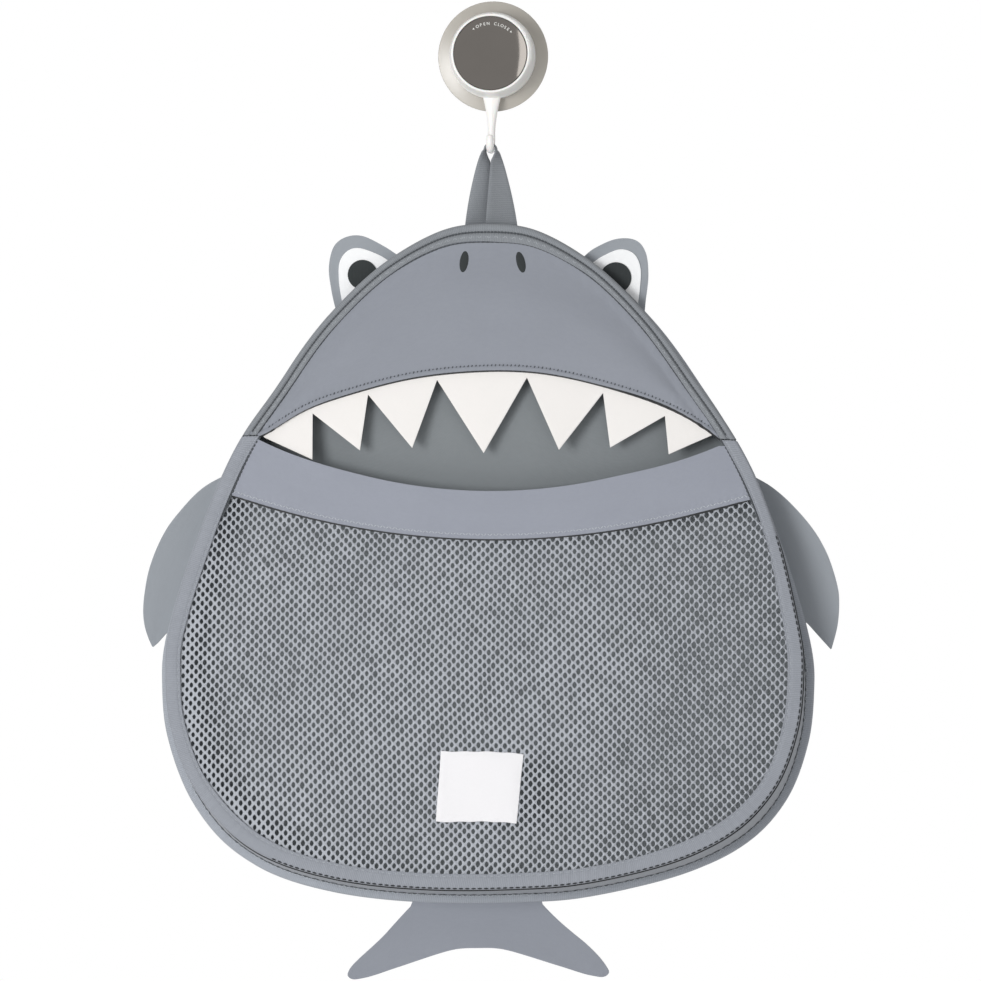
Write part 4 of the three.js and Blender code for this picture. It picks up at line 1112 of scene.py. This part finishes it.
def makeBand():
    b, thick = band, body["clothThick"]
    reach = edgeAt(front, np.linspace(0, 0.5, 4000), body["clothInset"])
    widest = float(reach[np.argmax(reach[:, 1] > bandFoot(reach[:, 0])), 0]) - b["trim"]
    x = spreadAcross(widest, b["columns"], b["spread"])
    top, foot = bandEdges(x)
    up = np.linspace(0, 1, b["rows"])[:, None] * (foot - top)
    wide, fromSeam = x[None, :] + 0 * up, up - b["stitchUp"]
    out = (bandOut(wide, foot - up) - b["sunk"] * np.exp(-(fromSeam / 0.7) ** 2)
           + b["pucker"] * np.sin(x / b["puckerPitch"] * 2 * math.pi) * np.exp(-(fromSeam / 3.5) ** 2))
    points = onFront(wide, foot - up, out)
    piece, flat, area = clothPiece("lipBand", points, thick, bandClothPaintedLight, b["round"], foamEdgeAndCrackShade, lambda v: b["slant"])
    shownArea(flat, area)
    sewIn(piece, "lip_band")
    count = int(2 * bandEndX / b["stitch"])
    run = np.linspace(-bandEndX + 1, bandEndX - 1, 3000)
    xs = np.interp((np.arange(count) + 0.5) / count, np.linspace(0, 1, 3000), run)
    zig = np.where(np.arange(count) % 2, 1.0, -1.0)

    def spot(v, up):
        return onFront(v, bandFoot(v) - b["stitchUp"] - up, thick / 2 - 0.15)

    ends = [spot(xs + k * b["stitch"] / 2, k * zig * b["zigzag"]) for k in (-1, 1)]
    frontRow("bandSeam", ends, *b["stitchSize"], brightThreadPaintedLight)


net = {"pitch": 5.08, "row": 2.62, "strand": 0.45, "knot": 0.56, "holeWide": 1.24, "holeHigh": 1.8, "inset": 3.2,
       "tuck": 6.0, "behind": 1.6, "behindTo": (1, 22), "bulge": 5.0, "bulgeReach": 178, "uneven": 0.05,
       "looser": 0.1, "looserFrom": (50, 80), "close": 0.17, "closeTo": (1, 14), "closeFrom": (190, 60),
       "flatMetres": (0.372, 0.237), "reachX": 200, "reachZ": 410,
       "ring": [[2, 0], [1, 1], [0, 2], [-1, 1], [-2, 0], [-1, -1], [0, -2], [1, -1]],
       "holeX": [1, 0.66, 0, -0.66, -1, -0.66, 0, 0.66], "holeZ": [0, 0.65, 1, 0.65, 0, -0.65, -1, -0.65]}


def netOut(x, drop):
    below = drop - bandFoot(x)
    low = edgeDrops(front, body["tapeBand"])[1](x)
    share = np.clip(below / np.maximum(1, low - bandFoot(x)), 0, 1)
    swell = net["bulge"] * np.sin(math.pi * share) * np.clip(1 - (x / net["bulgeReach"]) ** 2, 0, 1)
    return swell - net["behind"] * (1 - ramp(below, *net["behindTo"])) + 0.25 * np.sin(x / 21 + drop / 33)


def netDrift(x, drop):  # the knit isn't laid quite square
    return (x + 1.5 * np.sin(drop / 47 + x / 90) + 0.5 * np.sin(drop / 15 + x / 38),
            drop + 1.8 * np.sin(x / 58 + 0.7) + 0.6 * np.sin(x / 19 + drop / 29))


def netHoles(x, drop):  # gaps vary, are looser to the right, and are drawn closed at the left edge
    n = net
    vary = 1 + n["uneven"] * chance.standard_normal((len(x), 1)) + n["looser"] * ramp(x[:, None], *n["looserFrom"])
    leftEdge = edgeAt(front, np.linspace(0.5, 1, 3000), body["tapeBand"])[::-1]
    fromEdge = x - np.interp(drop, leftEdge[:, 1], leftEdge[:, 0])
    closed = n["close"] * (1 - ramp(fromEdge, *n["closeTo"])) * ramp(drop, *n["closeFrom"])
    vary = vary * (1 - closed)[:, None]
    holeX = x[:, None] + n["holeWide"] * np.array(n["holeX"]) * vary
    holeDrop = drop[:, None] + n["holeHigh"] * np.array(n["holeZ"]) * vary
    return onFront(holeX, holeDrop, netOut(holeX, holeDrop)).reshape(-1, 3)


def makeNet():
    n = net
    columns, rows = int(n["reachX"] / n["pitch"]), int(n["reachZ"] / n["row"])
    j, i = np.meshgrid(np.arange(rows), np.arange(-columns, columns + 1), indexing="ij")
    keyX, keyZ = (2 * i + j % 2).ravel(), j.ravel()
    lattice = lambda a, b: netDrift(np.asarray(a) * n["pitch"] / 2, np.asarray(b) * n["row"])
    x, drop = lattice(keyX, keyZ)
    upper, lower, widest = edgeDrops(front, n["inset"])
    kept = (np.abs(x) < widest) & (drop > upper(x)) & (drop < lower(x)) & (drop > bandFoot(x) - n["tuck"])
    keyX, keyZ = keyX[kept], keyZ[kept]
    cells = len(keyX)
    keys = np.stack([2 * keyX, 2 * keyZ], -1)[:, None, :] + np.array(n["ring"])[None]  # half steps round one gap
    unique, index = np.unique(keys.reshape(-1, 2), axis=0, return_inverse=True)
    index = index.reshape(cells, 8)
    rimX, rimDrop = lattice(unique[:, 0] / 2, unique[:, 1] / 2)
    lift = np.where(unique[:, 0] % 2 == 0, n["knot"], n["strand"])
    rimOut = netOut(rimX, rimDrop)
    frontSide, rearSide = (onFront(rimX, rimDrop, rimOut + way * lift) for way in (1, -1))
    points = settle(np.vstack([frontSide, rearSide, netHoles(*lattice(keyX, keyZ))]))
    count = len(unique)
    hole = 2 * count + np.arange(cells * 8).reshape(cells, 8)
    turn = np.roll(np.arange(8), -1)
    # drop runs downwards, so this order faces out of the front
    faceFront = np.stack([index, hole, hole[:, turn], index[:, turn]], -1).reshape(-1, 4)
    faceRear = np.stack([index[:, turn] + count, hole[:, turn], hole, index + count], -1).reshape(-1, 4)
    piece = newPiece("netPocket", points, np.vstack([faceFront, faceRear]).tolist())
    dress(piece, greyNet, 70)
    flat, area = n["flatMetres"], sum(p.area for p in piece.data.polygons) / 2
    min(shownArea(flat, area), flat[0] * flat[1])
    sewIn(piece, "net_pocket")
    print("net: %d gaps, strands cover %.4f m2" % (cells, area))


tag = {"wide": 47.5, "high": 40.6, "shift": -0.9, "rise": 59.6, "turn": 0.03, "thick": 0.55, "clear": 0.95,
       "skew": 1.1, "bow": 0.35, "pillow": 0.25, "fray": 0.06, "round": 0.15}


def makeLabel():
    t = tag
    u, v = np.meshgrid(np.linspace(-1, 1, 60), np.linspace(-1, 1, 52))
    wide = t["wide"] / 2 * (1 - 0.004 * np.sin(3.1 * v + 0.4)) + t["skew"] * v / 2 * np.where(u > 0, 1, 0.2)
    a = u * wide + t["skew"] * 0.6 * v
    b = v * t["high"] / 2 + 0.45 * np.sin(2.6 * u + 0.8) + 0.16 * np.sin(11 * u)
    c, s = math.cos(t["turn"]), math.sin(t["turn"])
    x, drop = t["shift"] + a * c + b * s, body["frontHeight"] - t["rise"] + a * s - b * c
    edge = np.minimum(1 - np.abs(u), 1 - np.abs(v))
    out = (netOut(x, drop) + t["clear"] + t["bow"] * np.sin(2.2 * u + 1.1 * v) * smooth(edge * 4)
           + t["pillow"] * smooth(edge * 9) + t["fray"] * np.sin(19 * v) * np.exp(-edge * 30))
    piece = clothPiece("blankLabel", onFront(x, drop, out), t["thick"], labelCloth, t["round"])[0]
    sewIn(piece, "label")


makeBand()
makeNet()
makeLabel()
print("pocket front ready")


# back and side wall

wall = {"columns": 200, "rows": 120, "spread": 0.97, "trim": 0.2, "belly": 8.5, "bellyDrop": 120, "bellyHigh": 45,
        "bellyWide": 160, "flatReach": 185, "gusset": 1.8, "gussetMetres": 0.0102, "joint": 0.0003, "inset": 6.3,
        "frontInset": 4.6, "bow": -1.2, "pucker": 0.15, "puckerPitch": 6.1}


def makeBackPanel():
    w = wall
    upper, lower, widest = edgeDrops(back, body["clothInset"])
    x = spreadAcross(widest - w["trim"], w["columns"], w["spread"])
    top, bottom = upper(x), np.maximum(lower(x), upper(x) + 0.3)
    drop = bottom - np.linspace(0, 1, w["rows"])[:, None] * (bottom - top)
    wide = x[None, :] + 0 * drop
    belly = w["belly"] * np.exp(-((drop - w["bellyDrop"]) / w["bellyHigh"]) ** 2)  # it sags forward behind the mouth
    out = 0.35 * np.sin(wide / 61 + drop / 83) + 0.25 * np.sin(wide / 27 - drop / 39)
    out = out + belly * np.clip(1 - (wide / w["bellyWide"]) ** 6, 0, 1)
    points = onBack(wide, drop, out * np.clip(1 - (wide / w["flatReach"]) ** 2, 0, 1))
    piece, flat, area = clothPiece("backPanel", points, body["clothThick"], backClothPaintedShade, 0)
    sewIn(piece, "back_panel")


def makeGusset(label, start, end, steps):
    w = wall
    places = np.linspace(start, end, steps)
    rim, foot = edgeAt(front, places, np.full(steps, w["frontInset"])), edgeAt(back, places, np.full(steps, w["inset"]))
    a = onFront(rim[:, 0], rim[:, 1], -tape["half"] + 0.1)
    b = onBack(foot[:, 0], foot[:, 1], tape["half"] - 0.1)
    depth = np.linspace(0, 1, 13)[:, None, None]
    along = alongAt(back, places)
    inward = np.stack([-along[:, 1], np.zeros(steps), -along[:, 0]], -1)
    run = (places * edgeLength)[None, :, None]
    bow = (w["bow"] * np.sin(math.pi * depth) * (0.8 + 0.2 * np.sin(run / 31))
           + w["pucker"] * np.sin(run / w["puckerPitch"] * 2 * math.pi) * np.cos(math.pi * depth) ** 4)
    points = a + (b - a) * depth + inward * bow
    # the side wall wears the paler cloth: painted light
    piece, _, area = clothPiece(label + "Gusset", points, w["gusset"], sideClothPaintedLight, 0)
    sewIn(piece, label + "_gusset")


crackShade = {"inset": 1.0, "shown": 0.95, "behind": 0.55, "thick": 0.7, "margin": 0.004, "steps": 620, "sides": 8,
          "rightFrom": (165, 30), "leftAcross": (-165, 30), "leftFrom": (280, 30)}


def makeCrackShade():  # painted shade: a dark cord in the crack where the side wall meets the front tape, open along the bottom and the right
    p = crackShade
    places = np.linspace(mouthPlace + p["margin"], 1 - mouthPlace - p["margin"], p["steps"])
    turn = np.linspace(0, 2 * math.pi, p["sides"], endpoint=False)
    x, drop = outlineAt(front, places).T
    shown = np.where(x > 0, ramp(drop, *p["rightFrom"]), ramp(x, *p["leftAcross"]) * ramp(drop, *p["leftFrom"]))
    inset = (p["inset"] - p["shown"] * shown)[:, None] + p["thick"] * np.cos(turn)[None, :]
    out = -tape["half"] - p["behind"] + p["thick"] * np.sin(turn)[None, :] + 0 * places[:, None]
    points = edgeAt(front, np.repeat(places[:, None], p["sides"], 1), inset)
    sections = onFront(points[..., 0], points[..., 1], out)
    sewIn(tubePiece("gussetCrackShade", sections, False, (900.0, 4.0), foamEdgeAndCrackShade))


makeBackPanel()
makeCrackShade()
makeGusset("upper", -mouthPlace + wall["joint"], mouthPlace - wall["joint"], 300)
makeGusset("lower", mouthPlace + wall["joint"], 1 - mouthPlace - wall["joint"], 520)
print("back and side wall ready")


# flaps sewn into the back edge

flap = {"thick": 1.8, "tuck": 1.7, "layer": 0.7, "least": 0.15, "middle": -2.8, "round": 0.4}


def footFrame(top, bottom):  # corner, direction along, direction out, length
    a, b = (edgeAt(back, placeWhere(back, 0, drop), 0) for drop in (top, bottom))
    a, b = (np.array([p[0], -body["backDrop"] - p[1]]) for p in (a, b))
    length = float(np.linalg.norm(b - a))
    along = (b - a) / length
    return a, along, np.array([-along[1], along[0]]), length


def splineThrough(points, count):  # uniform spline, as a curve of many points
    points = np.array(points, float)
    padded = np.vstack([points[:1], points, points[-1:]])
    spots = np.linspace(0, len(points) - 1, count)
    cell = np.minimum(spots.astype(int), len(points) - 2)
    t = (spots - cell)[:, None]
    p0, p1, p2, p3 = (padded[cell + k] for k in range(4))
    v0, v1 = (p2 - p0) / 2, (p3 - p1) / 2
    return (2 * p1 - 2 * p2 + v0 + v1) * t ** 3 + (-3 * p1 + 3 * p2 - 2 * v0 - v1) * t ** 2 + v0 * t + p1


def heightOver(edge, us, **ends):
    return np.interp(us, np.maximum.accumulate(edge[:, 0]), edge[:, 1], **ends)


def closerAtEnds(first, last, start, end, count):
    return first + (last - first) * (0.5 - 0.5 * np.cos(np.linspace(start, end, count) * math.pi))


def rootLine(foot, us):  # outer edge of the body under a flap, as a height over the foot's line
    corner, along, out = foot[:3]
    edge = edgeAt(back, np.linspace(0, 0.5, 4000), 0)
    edge = np.stack([edge[:, 0], -body["backDrop"] - edge[:, 1]], -1) - corner
    u, v = edge @ along, edge @ out
    order = np.argsort(u)
    near = np.abs(v[order]) < 30
    return np.interp(us, u[order][near], v[order][near])


def flapPoints(foot, us, low, high, rows, y, side, lift=None):
    corner, along, out = foot[:3]
    share = np.linspace(0, 1, rows)[:, None]
    u, v = us[None, :] + 0 * share, low + (high - low) * share
    flat = corner + u[..., None] * along + v[..., None] * out
    depth = np.full(u.shape, y) if lift is None else y - lift(u, v)
    points = np.stack([side * flat[..., 0], depth, flat[..., 1]], -1)
    return points if side < 0 else points[:, ::-1]


eyes = {  # along the foot, and out from it
    "left": {"tab": [[0.4, 0], [3.5, 10.2], [9.1, 22.4], [17.1, 28.4], [26.4, 28.7], [36.5, 21.3], [44.2, 10.0],
                     [49.6, 0]],
             "white": [[6.4, 0], [9.1, 8.0], [15.3, 18.3], [22.0, 21.5], [29.8, 19.3], [37.5, 10.8], [44.2, 0]],
             "pupil": (24.0, 5.0, 8.8)},
    "right": {"tab": [[0.3, 0], [1.9, 8.3], [7.9, 20.5], [17.0, 27.5], [26.4, 25.9], [36.5, 16.9], [45.3, 4.7],
                      [48.8, 0]],
              "white": [[6.5, 0], [8.7, 7.9], [13.8, 17.5], [22.0, 20.8], [30.5, 16.8], [38.5, 7.1], [43.3, 0]],
              "pupil": (23.0, 3.2, 9.2)},
    "tabMiddle": -2.8, "whiteMiddle": -4.15, "pupilMiddle": -4.75, "clear": 0.1, "rows": 24, "tabRound": 0.3,
    "layerRound": 0.2,
}
eyeFoot = footFrame(16.9, 49.6)


def makeEyeLayer(name, layer, points, thick, finish, edge):
    piece, flat, area = clothPiece(name + layer.title().replace("_", ""), points, thick, finish, edge)
    shownArea(flat, area)
    sewIn(piece, name + layer)


def domePoints(outline, y, sunk, side):
    edge = splineThrough(outline, 600)
    us = closerAtEnds(edge[0, 0], edge[-1, 0], 0.02, 0.985, 70)
    low = rootLine(eyeFoot, us) - sunk
    return flapPoints(eyeFoot, us, low, np.maximum(heightOver(edge, us), low + flap["least"]), eyes["rows"], y, side)


def makeEye(name, side):
    shape = eyes[name]
    points = domePoints(shape["tab"], eyes["tabMiddle"], flap["tuck"], side)
    makeEyeLayer(name, "_eye_tab", points, flap["thick"], finClothPaintedLight, eyes["tabRound"])
    points = domePoints(shape["white"], eyes["whiteMiddle"], -eyes["clear"], side)
    makeEyeLayer(name, "_eye_white", points, flap["layer"], eyeCloth, eyes["layerRound"])
    middle, rise, radius = shape["pupil"]
    us = middle + radius * np.sin(np.linspace(-0.995, 0.995, 40) * math.pi / 2)
    half = np.sqrt(np.maximum(0, radius ** 2 - (us - middle) ** 2))
    low = np.maximum(rise - half, rootLine(eyeFoot, us) + eyes["clear"])
    points = flapPoints(eyeFoot, us, low, np.maximum(rise + half, low + 0.1), eyes["rows"], eyes["pupilMiddle"], side)
    makeEyeLayer(name, "_pupil", points, flap["layer"], darkCloth, eyes["layerRound"])


fin = {  # along the foot, and out from it
    "left": {"edge": [[0.5, 0], [8.0, 6.6], [16.0, 11.5], [27.3, 16.2], [40.3, 20.3], [54.4, 22.1], [68.8, 21.9],
                      [82.4, 19.5], [92.0, 16.7], [99.4, 13.1], [105.4, 8.6], [109.6, 4.5]],
             "under": [[93.0, -2.6], [106.6, 2.8], [109.6, 4.5]]},
    "right": {"edge": [[-2.4, 0], [6.1, 7.2], [18.5, 14.4], [36.5, 21.7], [53.9, 25.2], [72.6, 24.9], [83.2, 22.5],
                       [95.7, 17.2], [107.6, 9.4]],
              "under": [[84.0, -0.6], [99.0, 5.7], [107.6, 9.4]]},
    "spread": 0.6, "hem": 1.0, "ripple": 0.5, "curl": 1.2, "notch": 3.5, "notchLong": 5, "crease": 7,
}
finFoot = footFrame(148.7, 239.5)


def makeFin(name, side):
    outer, under = splineThrough(fin[name]["edge"], 400), np.array(fin[name]["under"])
    us = closerAtEnds(outer[0, 0], outer[-1, 0], 0.03, 0.99, 110)
    low = rootLine(finFoot, us) - flap["tuck"] - fin["hem"]
    notch = fin["notch"] * smooth((under[0, 0] + fin["notchLong"] - us) / fin["notchLong"])
    free = np.maximum(low, np.interp(us, under[:, 0], under[:, 1]) - notch)
    low = np.where(us > under[0, 0], free, low)
    high = np.maximum(heightOver(outer, us) + fin["spread"], low + flap["least"])
    wave = lambda u, v: (fin["ripple"] * np.sin(u / 17) * np.clip(v / 20, 0, 1)
                         + fin["curl"] * np.clip(v / 24, 0, 1) ** 2)
    points = flapPoints(finFoot, us, low, high, 30, flap["middle"], side, wave)
    piece, flat, area = clothPiece(name + "Fin", points, flap["thick"], finClothPaintedLight, flap["round"])
    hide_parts(name + "_fin")
    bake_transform(piece)
    shownArea(flat, area)


tail = {  # out from the middle, and below the body
    "fork": [[0, 26.3], [16.2, 27.5], [45.5, 36.6], [60.9, 41.7], [67.8, 43.5], [73.0, 44.3], [75.8, 43.6],
             [77.3, 42.0]],
    "left": [[39.2, 0], [48.4, 10.0], [55.9, 18.3], [62.8, 24.9], [70.4, 31.8], [75.4, 37.0], [77.3, 40.6]],
    "right": [[37.2, 0], [47.3, 10.0], [55.4, 17.3], [63.3, 24.1], [70.6, 31.4], [75.0, 37.0], [77.3, 40.8]],
    "wide": 77.3, "long": 43.2, "columns": 150, "rows": 40, "curl": 1.4, "ripple": 0.3, "crease": 7,
}


def makeTail():
    bottom = -body["backDrop"] - body["backHeight"]
    x = tail["wide"] * np.sin(np.linspace(-0.985, 0.985, tail["columns"]) * math.pi / 2)
    fork, left, right = (splineThrough(tail[label], 400) for label in ("fork", "left", "right"))
    low = bottom - heightOver(fork, np.abs(x))
    root = -body["backDrop"] - edgeDrops(back, 0)[1](x) + flap["tuck"]
    drops = np.where(x < 0, heightOver(left, np.abs(x), left=-99), heightOver(right, np.abs(x), left=-99))
    high = np.maximum(np.minimum(bottom - drops, root), low + flap["least"])
    z = low + (high - low) * np.linspace(0, 1, tail["rows"])[:, None]
    wide = x[None, :] + 0 * z
    fall = np.clip((bottom - z) / tail["long"], 0, 1)
    out = tail["curl"] * fall ** 2 * np.cos(wide / 24) + tail["ripple"] * np.sin(wide / 11) * fall
    points = np.stack([wide, body["backMiddle"] - out, z], -1)
    piece, flat, area = clothPiece("tailFin", points, flap["thick"], greyCloth, flap["round"])
    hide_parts("tail_fin")
    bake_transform(piece)
    shownArea(flat, area)


for name, side in (("left", -1), ("right", 1)):
    makeEye(name, side)
    makeFin(name, side)
makeTail()
print("eyes, fins and tail ready")


# floor, light and camera

studio = {"floorPlace": (0, -0.2, -0.72), "floorSize": 2.6, "floorColour": (0.86, 0.86, 0.86, 1), "floorRough": 0.9,
          "ambient": 0.401, "aim": (0, -0.03, -0.3),
          "lamps": [("keyLight", 28.2, 0.8, 0.8, (-1.0, -2.12, -0.15)),  # power, width, height, place
                    ("fillLight", 4.3, 1.6, 1.2, (1.1, -2.3, -0.5)),
                    ("stripLight", 1.7, 0.158, 1.2, (-0.386, -2.4, -0.1)),
                    ("backLight", 23.0, 1.8, 1.8, (0.5, 2.7, 0.7))],
          "camera": (0.18937, -2.99614, -0.22982), "azimuth": 3.6, "elevation": 0.5, "roll": 0.55,
          "sensor": 36, "focal": 5084.7, "photoWide": 981}


def makeFloor():
    alone()
    bpy.ops.mesh.primitive_plane_add(size=studio["floorSize"], location=studio["floorPlace"])
    floor = bpy.context.object
    floor.name = "floor"
    paint = bpy.data.materials.new("paleFloor")
    paint.use_nodes = True
    shader = paint.node_tree.nodes["Principled BSDF"]
    shader.inputs["Base Color"].default_value = studio["floorColour"]
    shader.inputs["Roughness"].default_value = studio["floorRough"]
    wear(floor, paint)


def makeLights():
    for name, power, wide, high, place in studio["lamps"]:
        lamp = bpy.data.lights.new(name, "AREA")
        lamp.shape = "RECTANGLE"
        lamp.energy, lamp.size, lamp.size_y = power, wide, high
        light = bpy.data.objects.new(name, lamp)
        light.location = place
        light.rotation_euler = (Vector(studio["aim"]) - Vector(place)).to_track_quat("-Z", "Y").to_euler()
        bpy.context.scene.collection.objects.link(light)
    shaded = bpy.data.collections.new("outOfKeyLight")  # the dial mirrors the strip alone
    shaded.objects.link(bpy.data.objects["dialDisc"])
    shaded.collection_objects[0].light_linking.link_state = "EXCLUDE"
    bpy.data.objects["keyLight"].light_linking.receiver_collection = shaded
    world = bpy.data.worlds.new("studio")
    bpy.context.scene.world = world
    world.use_nodes = True
    tree = world.node_tree
    sky = tree.nodes["Background"]
    sky.inputs["Color"].default_value = (1, 1, 1, 1)
    path = addNode(tree, "ShaderNodeLightPath").outputs
    clear = mathNode(tree, "MAXIMUM", path["Is Camera Ray"], path["Is Transmission Ray"])
    seen = mathNode(tree, "MAXIMUM", clear, path["Is Glossy Ray"])
    strength = mathNode(tree, "MULTIPLY_ADD", seen, 1 - studio["ambient"], studio["ambient"])
    tree.links.new(strength, sky.inputs["Strength"])


def makeCamera():
    az, el, roll = (math.radians(studio[k]) for k in ("azimuth", "elevation", "roll"))
    forward = Vector((-math.sin(az) * math.cos(el), math.cos(az) * math.cos(el), -math.sin(el)))
    right = Vector((math.cos(az), math.sin(az), 0))
    up = right.cross(forward)
    across = right * math.cos(roll) + up * math.sin(roll)
    upward = -right * math.sin(roll) + up * math.cos(roll)
    data = bpy.data.cameras.new("photoCamera")
    data.sensor_width = studio["sensor"]
    data.lens = studio["sensor"] * studio["focal"] / studio["photoWide"]
    data.clip_end = 50
    camera = bpy.data.objects.new("photoCamera", data)
    turned = Matrix((across, upward, -forward)).transposed().to_4x4()
    camera.matrix_world = Matrix.Translation(studio["camera"]) @ turned
    bpy.context.scene.collection.objects.link(camera)
    bpy.context.scene.camera = camera
    bpy.context.scene.view_settings.view_transform = "Standard"


makeFloor()
makeLights()
makeCamera()
print("studio ready")
